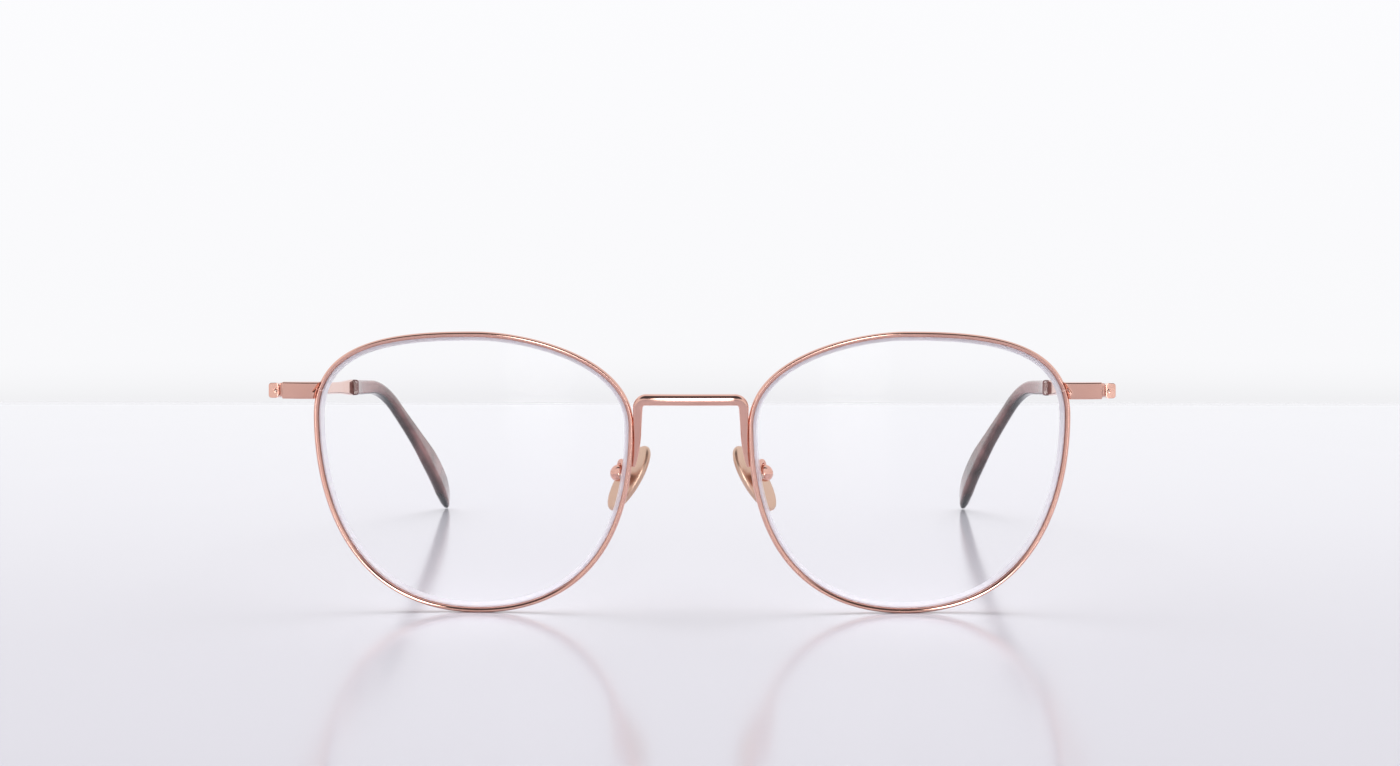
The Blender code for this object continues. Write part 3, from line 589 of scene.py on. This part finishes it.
def bump(tree, shader, height, strength, distance):
    node = tree.nodes.new("ShaderNodeBump")
    node.inputs["Strength"].default_value = strength
    node.inputs["Distance"].default_value = distance
    tree.links.new(height, node.inputs["Height"])
    tree.links.new(node.outputs["Normal"], shader.inputs["Normal"])


def metal_material(name, dark, light, rough_low, rough_high, scratch):
    """Plated metal: slow colour drift, faintly rubbed patches and very fine polishing marks."""
    material, tree, shader, place = new_material(name)
    drift = noise(tree, place, 120, 3.0)
    tree.links.new(ramp(tree, drift, (0.30, dark), (0.72, light)), shader.inputs["Base Color"])
    rubbed = noise(tree, place, 300, 4.0, distortion=0.8)
    tree.links.new(ramp(tree, rubbed, (0.35, rough_low), (0.75, rough_high)),
                   shader.inputs["Roughness"])
    marks = noise(tree, place, 2200, 4.0)
    bump(tree, shader, marks, scratch, 0.000004)
    shader.inputs["Metallic"].default_value = 1.0
    return material


def lens_material():
    """Clear plastic with a weak coating: a trace of violet and the faintest dust haze."""
    material, tree, shader, place = new_material("lens_clear")
    haze = noise(tree, place, 260, 6.0)
    tree.links.new(ramp(tree, haze, (0.45, 0.0), (0.80, 0.012)), shader.inputs["Roughness"])
    tint = noise(tree, place, 30, 2.0)
    tree.links.new(ramp(tree, tint, *LENS_TINTS), shader.inputs["Base Color"])
    shader.inputs["Transmission Weight"].default_value = 1.0
    shader.inputs["Specular IOR Level"].default_value = 0.03
    shader.inputs["IOR"].default_value = LENS_IOR
    return material


def lens_edge_material():
    """The ground edge of a lens: frosted, pale and slightly violet."""
    material, tree, shader, place = new_material("lens_ground_edge")
    grain = noise(tree, place, 700, 3.0)
    tree.links.new(ramp(tree, grain, *LENS_EDGE_TINTS), shader.inputs["Base Color"])
    tree.links.new(ramp(tree, grain, (0.3, 0.42), (0.7, 0.50)), shader.inputs["Roughness"])
    shader.inputs["Transmission Weight"].default_value = 0.55
    shader.inputs["IOR"].default_value = LENS_IOR
    return material


def acetate_material():
    """Dark tortoise acetate: black-brown with warm rosy streaks along the tip, polished; faces that
    look down are painted near black as shade.
    """
    material, tree, shader, place = new_material("acetate_tortoise")
    streaks = noise(tree, place, 95, 4.0, stretch=(1.0, 0.30, 0.8), distortion=1.2)
    rosy = ramp(tree, streaks, *ACETATE_STREAKS)
    facing = tree.nodes.new("ShaderNodeSeparateXYZ")
    tree.links.new(tree.nodes.new("ShaderNodeTexCoord").outputs["Normal"], facing.inputs[0])
    # painted shade: faces that look down turn near black, faces that look up show the streaks
    upwards = ramp(tree, math_node(tree, "ADD", facing.outputs["Z"], 1.0), *ACETATE_SHADE_BY_FACING)
    layers = tree.nodes.new("ShaderNodeMix")
    layers.data_type = "RGBA"
    layers.inputs[6].default_value = ACETATE_DARK_AND_SHADE
    tree.links.new(upwards, layers.inputs[0])
    tree.links.new(rosy, layers.inputs[7])
    tree.links.new(layers.outputs[2], shader.inputs["Base Color"])
    wear = noise(tree, place, 500, 4.0)
    tree.links.new(ramp(tree, wear, (0.35, 0.10), (0.75, 0.20)), shader.inputs["Roughness"])
    bump(tree, shader, wear, 0.05, 0.00002)
    shader.inputs["IOR"].default_value = ACETATE_IOR
    shader.inputs["Coat Weight"].default_value = 0.5
    return material


def table_material():
    """Glossy pale board with painted shade: greyer and more violet in front, its far edge melts into
    the wall.
    """
    material, tree, shader, place = new_material("table_white")
    cloud = noise(tree, place, 7, 3.0, stretch=(1.0, 0.6, 1.0))
    tree.links.new(ramp(tree, cloud, (0.3, 0.10), (0.75, 0.15)), shader.inputs["Roughness"])
    axes = tree.nodes.new("ShaderNodeSeparateXYZ")
    tree.links.new(place, axes.inputs["Vector"])
    along = math_node(tree, "ADD", axes.outputs["Y"], RAMP_SHIFT)
    # painted shade: the board's colour turns greyer and more violet towards the front
    tree.links.new(ramp(tree, along, *TABLE_TONES_WITH_SHADE), shader.inputs["Base Color"])
    far = math_node(tree, "SUBTRACT", axes.outputs["Y"], TABLE_BACK_Y - TABLE_FADE)
    far = math_node(tree, "DIVIDE", far, TABLE_FADE)
    tree.links.new(ramp(tree, far, (0.0, 1.0), (1.0, 0.0)), shader.inputs["Alpha"])
    shader.inputs["IOR"].default_value = TABLE_IOR
    return material


# ---------------------------------------------------------------- front

def rim_section():
    """(outwards, to the front): a rounded outer side and a V groove that faces the lens."""
    half_width, half_depth = RIM_WIDTH / 2, RIM_DEPTH / 2
    points = [(half_width * cos(a), half_depth * sin(a))
              for a in np.linspace(-RIM_ARC, RIM_ARC, 27)]
    for turn in (1, -1):
        corner = [(inwards - half_width, turn * (GROOVE_HALF_WIDTH + past))
                  for inwards, past in RIM_LIP]
        points += corner if turn == 1 else [(GROOVE_DEPTH - half_width, 0.0)] + corner[::-1]
    return np.array(points)


def build_rim(side, word, metal):
    points, normals = split_outline()
    section = rim_section()
    plane = points[:, None, :] + normals[:, None, :] * section[None, :, :1]
    rows = sagged(plane, np.broadcast_to(section[:, 1], plane.shape[:2]))
    rows[..., 0] *= side
    mesh = moved(skin("rim_wire_" + word, rows), eye_matrix(side))
    add_piece("rim_wire_" + word, mesh, "front", "rim_" + word, [metal], 50)


def build_lens(side, word, glass, ground):
    """A meniscus lens; the slopes and flat of its V edge get the ground material."""
    points, normals = eye_outline()
    edge = points - normals * LENS_INSET
    shoulder = points - normals * (LENS_INSET + LENS_BEVEL)
    half = LENS_THICKNESS / 2
    shares = np.linspace(0, 1, LENS_ROWS + 1)[1:]

    def level(plane, depth):
        return sagged(plane, np.full(len(points), depth))

    rows = [level(shoulder * share, half) for share in shares]
    rows += [level(edge, LENS_EDGE_FLAT / 2), level(edge, -LENS_EDGE_FLAT / 2)]
    rows += [level(shoulder * share, -half) for share in shares[::-1]]
    bm = bmesh.new()
    rings = [[bm.verts.new((side * x, y, z)) for x, y, z in row] for row in rows]
    poles = [bm.verts.new((0, 0, face * half - RIM_MID_DEPTH)) for face in (1, -1)]
    count = len(points)
    for i in range(count):
        j = (i + 1) % count
        bm.faces.new((poles[0], rings[0][i], rings[0][j]))
        bm.faces.new((poles[1], rings[-1][j], rings[-1][i]))
        for row, (near, far) in enumerate(zip(rings, rings[1:])):
            face = bm.faces.new((near[i], near[j], far[j], far[i]))
            face.material_index = int(LENS_ROWS - 1 <= row <= LENS_ROWS + 1)
    mesh = moved(to_mesh("lens_clear_" + word, bm), eye_matrix(side))
    lens = add_piece("lens_clear_" + word, mesh, "front", "lens_" + word, [glass, ground],
                     20)
    lens.visible_shadow = False


def rim_clearance(side):
    """A ring along the lens outline that trims what is fixed to the rim's outer side."""
    points, normals = eye_outline()
    outer, deep = RIM_WIDTH / 2 + TOUCH_GAP, RIM_DEPTH / 2 + TOUCH_GAP
    overlap = acos(SEAM_OVERLAP)
    arc = [(outer * cos(a), deep * sin(a)) for a in np.linspace(-overlap, overlap, 13)]
    section = np.array([(-CUT_PAST, -CUT_PAST), (arc[0][0], -CUT_PAST)] + arc
                       + [(arc[-1][0], CUT_PAST), (-CUT_PAST, CUT_PAST)])
    plane = points[:, None, :] + normals[:, None, :] * section[None, :, :1]
    rows = sagged(plane, np.broadcast_to(section[:, 1], plane.shape[:2]))
    rows[..., 0] *= side
    return moved(skin("rim_clearance", rows, closed=True), eye_matrix(side))


def build_bridge(metal):
    half = []
    for (x, y, z), travel, handle, radius in BRIDGE_KNOTS:
        half.append((np.array((x, y, z)), np.array(travel) * handle, radius))
    mirror = np.array((-1, 1, 1))
    knots = [(p * mirror, t * (1, -1, -1), r) for p, t, r in half[:0:-1]] + half
    points, radii = [], []
    for (p0, t0, r0), (p1, t1, r1) in zip(knots, knots[1:]):
        points.append(bezier(p0, p0 + t0, p1 - t1, p1, BRIDGE_STEPS))
        t = np.linspace(0, 1, BRIDGE_STEPS, endpoint=False)
        radii.append(r0 + (r1 - r0) * t)
    points = np.vstack(points + [knots[-1][0]])
    radii = np.concatenate(radii + [[knots[-1][2]]])
    world = [front_point(*p) for p in points]
    mesh = tube("bridge_wire", world, radii * MM, BRIDGE_SIDES, BRIDGE_ROUNDNESS)
    add_piece(mesh.name, mesh, "front", "bridge", [metal], 60)


def prism(name, side, plan, low, high):
    """An upright prism from a plan in mm from the datum, between two heights in metres."""
    bm = bmesh.new()
    bottom, top = ([bm.verts.new(datum_point(side * x, y, level / MM)) for x, y in plan]
                   for level in (low, high))
    bm.faces.new(bottom)
    bm.faces.new(top)
    for i in range(len(plan)):
        j = (i + 1) % len(plan)
        bm.faces.new((bottom[i], bottom[j], top[j], top[i]))
    return to_mesh(name, bm)


def strap_notch(side):
    """The open corner between strap and rim: a wedge that is deepest at its top."""
    front = STRAP_PLAN[0][1]
    low = min(up for _, up in STRAP_NOTCH)
    bm = bmesh.new()
    rows = []
    for ahead in (True, False):
        row = []
        for x, up in STRAP_NOTCH:
            y = front - 1 if ahead else front + STRAP_NOTCH_SLOPE * (up - low)
            row.append(bm.verts.new(datum_point(side * x, y, STRAP_Z / MM + up)))
        rows.append(row)
        bm.faces.new(row)
    for i in range(len(STRAP_NOTCH)):
        j = (i + 1) % len(STRAP_NOTCH)
        bm.faces.new((rows[0][i], rows[0][j], rows[1][j], rows[1][i]))
    return to_mesh("strap_notch", bm)


def build_endpiece(side, word, metal):
    strap = prism("endpiece_strap_" + word, side, STRAP_PLAN, STRAP_Z - STRAP_HEIGHT / 2,
                  STRAP_Z + STRAP_HEIGHT / 2)
    mesh = cut(bevelled(strap, STRAP_BEVEL), rim_clearance(side))
    mesh = cut(mesh, strap_notch(side))
    add_piece(strap.name, mesh, "front", "endpiece_" + word, [metal])


def build_lock(side, word, metal, steel):
    width, depth, height = LOCK_BLOCK
    hole_place = Matrix.Translation((side * LOCK_SCREW_X, LOCK_BLOCK_Y + FRONT_Y, LOCK_Z))
    for sign, place in ((1, "upper"), (-1, "lower")):
        middle = Vector((side * LOCK_BLOCK_X, LOCK_BLOCK_Y + FRONT_Y,
                         LOCK_Z + sign * (LOCK_SPLIT + height) / 2))
        name = "lock_block_%s_%s" % (place, word)
        mesh = bevelled(box(name, (width, depth, height)), LOCK_BEVEL, 3)
        mesh = cut(moved(mesh, Matrix.Translation(middle)), rim_clearance(side))
        hole = disc("hole", LOCK_SCREW_RADIUS + PIN_CLEARANCE, -CUT_PAST, CUT_PAST)
        add_piece(name, cut(mesh, moved(hole, hole_place)), "front",
                  "lock_%s_%s" % (place, word), [metal])
    bottom = -height - LOCK_SPLIT / 2
    name = "lock_bolt_" + word
    mesh = disc(name, LOCK_SCREW_RADIUS, bottom - TOUCH_GAP * 2, -bottom - TOUCH_GAP * 2)
    low, high = bottom - TOUCH_GAP - LOCK_HEAD_HEIGHT, bottom - TOUCH_GAP
    head = lathe("head", rounded_profile(LOCK_HEAD_RADIUS, low, high, LOCK_HEAD_EDGE))
    slot = box("slot", (SLOT_LENGTH, *LOCK_SLOT), (0, 0, low))
    mesh = cut(join(mesh, head), slot)
    add_piece(name, moved(mesh, hole_place), "front", "lock_screw_" + word, [steel])


def build_hinge(side, word, metal, steel):
    axis = Matrix.Translation((side * HINGE_X, HINGE_Y + FRONT_Y, STRAP_Z))
    pitch = KNUCKLE_HEIGHT + KNUCKLE_GAP
    top = pitch + KNUCKLE_HEIGHT / 2
    half = KNUCKLE_HEIGHT / 2
    bore = PIN_RADIUS + PIN_CLEARANCE
    edge = HINGE_EDGE

    leaf_middle = (side * ((LEAF_OUTER_X + LEAF_INNER_X) / 2 - HINGE_X),
                   (LEAF_BACK_Y + LEAF_FRONT_Y) / 2 - HINGE_Y, 0)
    mesh = bevelled(box("leaf", (LEAF_OUTER_X - LEAF_INNER_X, LEAF_BACK_Y - LEAF_FRONT_Y,
                                 2 * top), leaf_middle), edge, 2)
    for level in (-1, 1):
        barrel = lathe("barrel", rounded_profile(KNUCKLE_RADIUS, level * pitch - half,
                                                 level * pitch + half, edge))
        mesh = join(mesh, barrel)
    mesh = cut(mesh, disc("relief", KNUCKLE_RADIUS + edge, -half - KNUCKLE_GAP,
                          half + KNUCKLE_GAP))
    mesh = cut(mesh, disc("bore", bore, -CUT_PAST, CUT_PAST))
    mesh = cut(mesh, disc("seat", PIN_HEAD_RADIUS + PIN_CLEARANCE,
                          top - PIN_HEAD_HEIGHT - PIN_CLEARANCE, top + CUT_SHORT))
    mesh.name = "hinge_knuckles_" + word
    add_piece(mesh.name, moved(mesh, axis), "front", "hinge_front_" + word, [metal])

    mesh = lathe("knuckle", rounded_profile(KNUCKLE_RADIUS, -half, half, edge))
    arm_face = ARM_FACE_X - TOUCH_GAP - HINGE_X
    web = box("web", (arm_face - HINGE_WEB_START, HINGE_WEB, KNUCKLE_HEIGHT - HINGE_WEB_PLAY),
              (side * (arm_face + HINGE_WEB_START) / 2, 0, 0))
    mesh = cut(join(mesh, web), disc("bore", bore, -CUT_PAST, CUT_PAST))
    add_piece("hinge_knuckle_" + word, moved(mesh, axis), "temple_" + word,
              "hinge_temple_" + word, [metal])

    mesh = disc("pin", PIN_RADIUS, -top, top - PIN_HEAD_HEIGHT / 2)
    head = lathe("head", rounded_profile(PIN_HEAD_RADIUS, top - PIN_HEAD_HEIGHT, top, edge))
    slot = box("slot", (SLOT_LENGTH, *PIN_SLOT), (0, 0, top))
    mesh = cut(join(mesh, head), moved(slot, Matrix.Rotation(PIN_SLOT_TURN, 4, "Z")))
    add_piece("hinge_bolt_" + word, moved(mesh, axis), "front", "hinge_screw_" + word,
              [steel])


# ---------------------------------------------------------------- temples

def arm_height(y):
    return ARM_FRONT_Z - (y - ARM_FRONT_Y) * tan(TEMPLE_SLOPE)


def edge_rings(places, first_edge, last_edge, steps=4):
    """Each place along a loft with how far its ring is drawn in, for rounded ends."""
    turns = [pi / 2 * i / steps for i in range(steps + 1)]
    first, last = places[0], places[-1]
    starts = [(first + first_edge * (1 - cos(a)), first_edge * (1 - sin(a))) for a in turns]
    ends = [(last - last_edge * (1 - cos(a)), last_edge * (1 - sin(a))) for a in turns]
    inner = [(p, 0.0) for p in places if first + first_edge < p < last - last_edge]
    return [(first, first_edge * 1.5)] + starts + inner + ends[::-1]


def build_arm(side, word, metal):
    across = Vector((1, 0, 0))
    up = Vector((0, sin(TEMPLE_SLOPE), cos(TEMPLE_SLOPE)))
    ends = ARM_STATIONS[0][0], ARM_STATIONS[-1][0]
    rings = edge_rings(np.linspace(*ends, ARM_ROWS), *ARM_EDGES)
    table = smooth_table(ARM_STATIONS, np.array([place for place, _ in rings]))
    rows = []
    for (y, inset), (x, height, thickness) in zip(rings, table):
        centre = datum_point(side * x, y, arm_height(y))
        rows.append(soft_ring(centre, across, up, (thickness - 2 * inset) * MM,
                              (height - 2 * inset) * MM, ARM_CORNER))
    mesh = skin("temple_arm_wire_" + word, rows)
    well = disc("well", STUD_WELL_RADIUS, -STUD_WELL_DEPTH, CUT_SHORT, 40)
    mesh = cut(mesh, moved(well, stud_matrix(side)))
    mesh = join(mesh, core_pin(side, CORE_RADIUS, CORE_LENGTH))
    add_piece("temple_arm_wire_" + word, mesh, "temple_" + word, "temple_arm_" + word, [metal])


def core_pin(side, radius, length):
    """The straight metal core that runs from the arm's end into the tip."""
    start_y = TIP_START_Y - CORE_START
    start = datum_point(side * CORE_X, start_y, arm_height(start_y))
    turn = Euler((-pi / 2 - TEMPLE_SLOPE, 0, side * CORE_TURN)).to_matrix().to_4x4()
    return moved(disc("core", radius, 0, length), Matrix.Translation(start) @ turn)


def tip_path():
    """Places along the tip: distance, y, z and slope, in mm from the datum."""
    y, z, slope = TIP_START_Y, arm_height(TIP_START_Y), TEMPLE_SLOPE
    path = [(0.0, y, z, slope)]
    for i in range(1, int(TIP_LENGTH / TIP_STEP) + 1):
        if i * TIP_STEP > TIP_STRAIGHT:
            slope = min(TIP_END_SLOPE, slope + TIP_STEP / TIP_BEND_RADIUS)
        y += cos(slope) * TIP_STEP
        z -= sin(slope) * TIP_STEP
        path.append((i * TIP_STEP, y, z, slope))
    return np.array(path)


def build_tip(side, word, acetate):
    across = Vector((1, 0, 0))
    path = tip_path()
    rings = edge_rings(np.linspace(0, TIP_LENGTH, TIP_ROWS), *TIP_EDGES)
    table = smooth_table(TIP_STATIONS, np.array([place for place, _ in rings]))
    rows = []
    for (distance, inset), (height, thickness) in zip(rings, table):
        y, z, slope = (np.interp(distance, path[:, 0], path[:, i]) for i in (1, 2, 3))
        share = (distance / TIP_LENGTH) ** TIP_EASE
        inwards = TIP_INWARDS * share * share * (3 - 2 * share)
        centre = datum_point(side * (TIP_START_X - inwards), y, z)
        up = Vector((0, sin(slope), cos(slope)))
        corner = TIP_CORNERS[0] + (TIP_CORNERS[1] - TIP_CORNERS[0]) * min(1, 3 * share)
        rows.append(soft_ring(centre, across, up, (thickness - 2 * inset) * MM,
                              (height - 2 * inset) * MM, corner))
    mesh = skin("temple_sleeve_" + word, rows)
    mesh = cut(mesh, core_pin(side, CORE_RADIUS + CORE_CLEARANCE, CORE_LENGTH + CORE_CLEARANCE))
    add_piece("temple_sleeve_" + word, mesh, "temple_" + word, "temple_tip_" + word, [acetate])


def stud_matrix(side):
    """Frame of the stud in the arm's front face, z to the front."""
    place = Matrix.Translation((side * STUD_X, ARM_FRONT_Y * MM + FRONT_Y, ARM_FRONT_Z * MM))
    return place @ Matrix.Rotation(pi / 2, 4, "X")


def build_stud(side, word, steel):
    foot = TOUCH_GAP - STUD_WELL_DEPTH
    profile = [(0.0, foot), (STUD_RADIUS, foot)]
    profile += [(STUD_RADIUS * cos(a), STUD_RISE * sin(a))
                for a in np.linspace(0, radians(80), 9)]
    mesh = lathe("temple_stud_" + word, profile + [(0.0, STUD_RISE)], 32)
    add_piece(mesh.name, moved(mesh, stud_matrix(side)), "temple_" + word,
              "temple_rivet_" + word, [steel])


# ---------------------------------------------------------------- nose pads

def pad_matrix(side):
    """Frame of the pad's screw: x across the pad, y along it, z away from the nose."""
    width = Vector((side * sin(PAD_SPLAY), cos(PAD_SPLAY), sin(PAD_SPLAY) * tan(PAD_FLARE)))
    width.normalize()
    length = Vector((-side * sin(PAD_FLARE), 0, cos(PAD_FLARE)))
    normal = width.cross(length) * side
    turn = Matrix((width, length * side, normal)).transposed().to_4x4()
    x, y, z = PAD_CENTRE
    pivot = datum_point(side * x, y, z) + normal * PAD_BOX_HEIGHT
    return Matrix.Translation(pivot) @ turn, pivot, normal


def build_pad(side, word, metal, steel, satin):
    place, pivot, normal = pad_matrix(side)
    width, length, thickness = PAD_SIZE
    half = thickness / 2
    profile = [(0.0, -half)] + [(r, -half) for r in PAD_RINGS]
    profile += [(1 - PAD_ROUND + PAD_ROUND * cos(a), half * sin(a))
                for a in np.linspace(-pi / 2, pi / 2, 11)]
    profile += [(r, half) for r in PAD_RINGS[::-1]] + [(0.0, half)]
    mesh = lathe("nose_pad_oval_" + word, profile, 72, (width / 2, length / 2))
    mesh = moved(mesh, place @ Matrix.Translation((0, 0, -PAD_BOX_HEIGHT)))
    add_piece("nose_pad_oval_" + word, mesh, "pad_" + word, "nose_pad_" + word, [satin])

    low, high = half + TOUCH_GAP - PAD_BOX_HEIGHT, PAD_POST_TOP
    hole_turn = Matrix.Rotation(pi / 2, 4, "Y")
    mesh = bevelled(box("post", (*PAD_POST, high - low), (0, 0, (low + high) / 2)),
                    PAD_POST_BEVEL, 3)
    hole = moved(disc("hole", PAD_SCREW_RADIUS + PIN_CLEARANCE, -CUT_PAST, CUT_PAST), hole_turn)
    mesh = moved(cut(mesh, hole), place)
    add_piece("pad_stem_" + word, mesh, "pad_" + word, "pad_post_" + word, [satin])

    half_box = PAD_BOX_DEPTH / 2
    mesh = lathe("box", rounded_profile(PAD_BOX_RADIUS, -half_box, half_box + PAD_BOX_DOME,
                                        *PAD_BOX_EDGES, 10), 64)
    pocket = bevelled(box("pocket", (*PAD_POCKET, PAD_BOX_DEPTH), (0, 0, -PAD_POCKET_SHIFT)),
                      PAD_POCKET_BEVEL, 3)
    hole = moved(disc("hole", PAD_SCREW_RADIUS + TOUCH_GAP, -CUT_PAST, CUT_PAST), hole_turn)
    mesh = moved(cut(cut(mesh, pocket), hole), place)
    add_piece("pad_cup_" + word, mesh, "front", "pad_box_" + word, [metal])

    reach = PAD_BOX_RADIUS
    mesh = disc("pin", PAD_SCREW_RADIUS, -reach - TOUCH_GAP * 2, reach)
    low, high = -reach - TOUCH_GAP - PAD_HEAD_HEIGHT, -reach - TOUCH_GAP
    head = lathe("head", rounded_profile(PAD_SCREW_HEAD_RADIUS, low, high, *PAD_HEAD_EDGES))
    slot = box("slot", (SLOT_LENGTH, *PAD_SLOT), (0, 0, low))
    mesh = moved(cut(join(mesh, head), slot), place @ hole_turn)
    add_piece("pad_bolt_" + word, mesh, "front", "pad_screw_" + word, [steel])

    start = datum_point(side * PAD_ARM_START[0], *PAD_ARM_START[1:])
    leaves = Vector(PAD_ARM_LEAVES) * MM
    arrives = Vector(PAD_ARM_ARRIVES).normalized()
    leaves.x *= side
    arrives.x *= side
    end = pivot + arrives * PAD_ARM_REACH
    path = bezier(start, start + leaves, end + arrives * PAD_ARM_LOOP, end, 40)
    path = np.vstack([path, end])
    add_piece("pad_wire_" + word, tube("pad_wire_" + word, path, PAD_ARM_RADIUS), "front",
              "pad_arm_" + word, [metal], 60)


# ---------------------------------------------------------------- stage, light, camera

def build_table():
    bm = bmesh.new()
    corners = ((-TABLE_HALF_WIDTH, TABLE_FRONT_Y), (TABLE_HALF_WIDTH, TABLE_FRONT_Y),
               (TABLE_HALF_WIDTH, TABLE_BACK_Y), (-TABLE_HALF_WIDTH, TABLE_BACK_Y))
    bm.faces.new([bm.verts.new((x, y, 0)) for x, y in corners])
    mesh = to_mesh("table", bm)
    mesh.materials.append(table_material())
    table = bpy.data.objects.new("table", mesh)
    bpy.context.scene.collection.objects.link(table)


def build_world():
    """A pale room that is dark overhead, with one bright window behind the photographer."""
    world = bpy.data.worlds.new("room")
    bpy.context.scene.world = world
    world.use_nodes = True
    tree = world.node_tree
    background = tree.nodes["Background"]
    direction = tree.nodes.new("ShaderNodeTexCoord").outputs["Generated"]
    axes = tree.nodes.new("ShaderNodeSeparateXYZ")
    tree.links.new(direction, axes.inputs["Vector"])
    height = math_node(tree, "ADD", axes.outputs["Z"], RAMP_SHIFT)

    towards = tree.nodes.new("ShaderNodeVectorMath")
    towards.operation = "DOT_PRODUCT"
    towards.inputs[1].default_value = CEILING_TOWARDS
    tree.links.new(direction, towards.inputs[0])
    room = ramp(tree, towards.outputs["Value"], *ROOM_TONES)

    sideways = math_node(tree, "ABSOLUTE", axes.outputs["X"], 0)
    across = ramp(tree, sideways, *WINDOW_ACROSS)
    upwards = ramp(tree, height, *WINDOW_UP)
    behind = math_node(tree, "LESS_THAN", axes.outputs["Y"], 0.0)
    window = math_node(tree, "MULTIPLY", math_node(tree, "MULTIPLY", across, upwards), behind)
    window = math_node(tree, "MULTIPLY", window, WINDOW_LEVEL)
    lit = tree.nodes.new("ShaderNodeVectorMath")
    lit.operation = "ADD"
    tree.links.new(room, lit.inputs[0])
    tree.links.new(window, lit.inputs[1])

    # what camera and lens rays see: a pale backdrop with painted shade, darker towards the table's
    # far edge
    wall = ramp(tree, height, *BACKDROP_TONES_WITH_SHADE)
    rays = tree.nodes.new("ShaderNodeLightPath").outputs
    seen = math_node(tree, "MAXIMUM", rays["Is Camera Ray"], rays["Is Transmission Ray"])
    mix = tree.nodes.new("ShaderNodeMix")
    mix.data_type = "RGBA"
    tree.links.new(seen, mix.inputs[0])
    tree.links.new(lit.outputs["Vector"], mix.inputs[6])
    tree.links.new(wall, mix.inputs[7])
    tree.links.new(mix.outputs[2], background.inputs["Color"])
    background.inputs["Strength"].default_value = 1.0


def add_softbox(name, place, target, size, power):
    """A soft lamp that shows in no reflection."""
    data = bpy.data.lights.new(name, "AREA")
    data.shape = "RECTANGLE"
    data.size, data.size_y = size
    data.energy = power
    lamp = bpy.data.objects.new(name, data)
    lamp.location = place
    lamp.visible_glossy = False
    lamp.rotation_mode = "QUATERNION"
    lamp.rotation_quaternion = (Vector(target) - Vector(place)).to_track_quat("-Z", "Y")
    bpy.context.scene.collection.objects.link(lamp)


def build_camera():
    data = bpy.data.cameras.new("camera")
    data.lens = CAMERA_LENS
    data.sensor_width = CAMERA_SENSOR
    data.clip_start = CAMERA_NEAR
    camera = bpy.data.objects.new("camera", data)
    turn = (Matrix.Rotation(CAMERA_YAW, 4, "Z") @ Matrix.Rotation(pi / 2 - CAMERA_PITCH, 4, "X")
            @ Matrix.Rotation(CAMERA_ROLL, 4, "Z"))
    camera.matrix_world = Matrix.Translation(CAMERA_PLACE) @ turn
    bpy.context.scene.collection.objects.link(camera)
    bpy.context.scene.camera = camera


rose_gold = metal_material("rose_gold_polished", *ROSE_GOLD)
screw_metal = metal_material("screw_metal", *SCREW_METAL)
pad_satin = metal_material("pad_satin", *PAD_SATIN)
glass = lens_material()
ground = lens_edge_material()
acetate = acetate_material()

build_bridge(rose_gold)
for side, word in SIDES:
    build_rim(side, word, rose_gold)
    build_lens(side, word, glass, ground)
    build_endpiece(side, word, rose_gold)
    build_lock(side, word, rose_gold, screw_metal)
    build_hinge(side, word, rose_gold, screw_metal)
    build_arm(side, word, rose_gold)
    build_tip(side, word, acetate)
    build_stud(side, word, screw_metal)
    build_pad(side, word, rose_gold, screw_metal, pad_satin)

build_table()
build_world()
add_softbox("top_softbox", LAMP_PLACE, LAMP_TARGET, LAMP_SIZE, LAMP_POWER)
build_camera()
bpy.context.scene.view_settings.view_transform = "Standard"
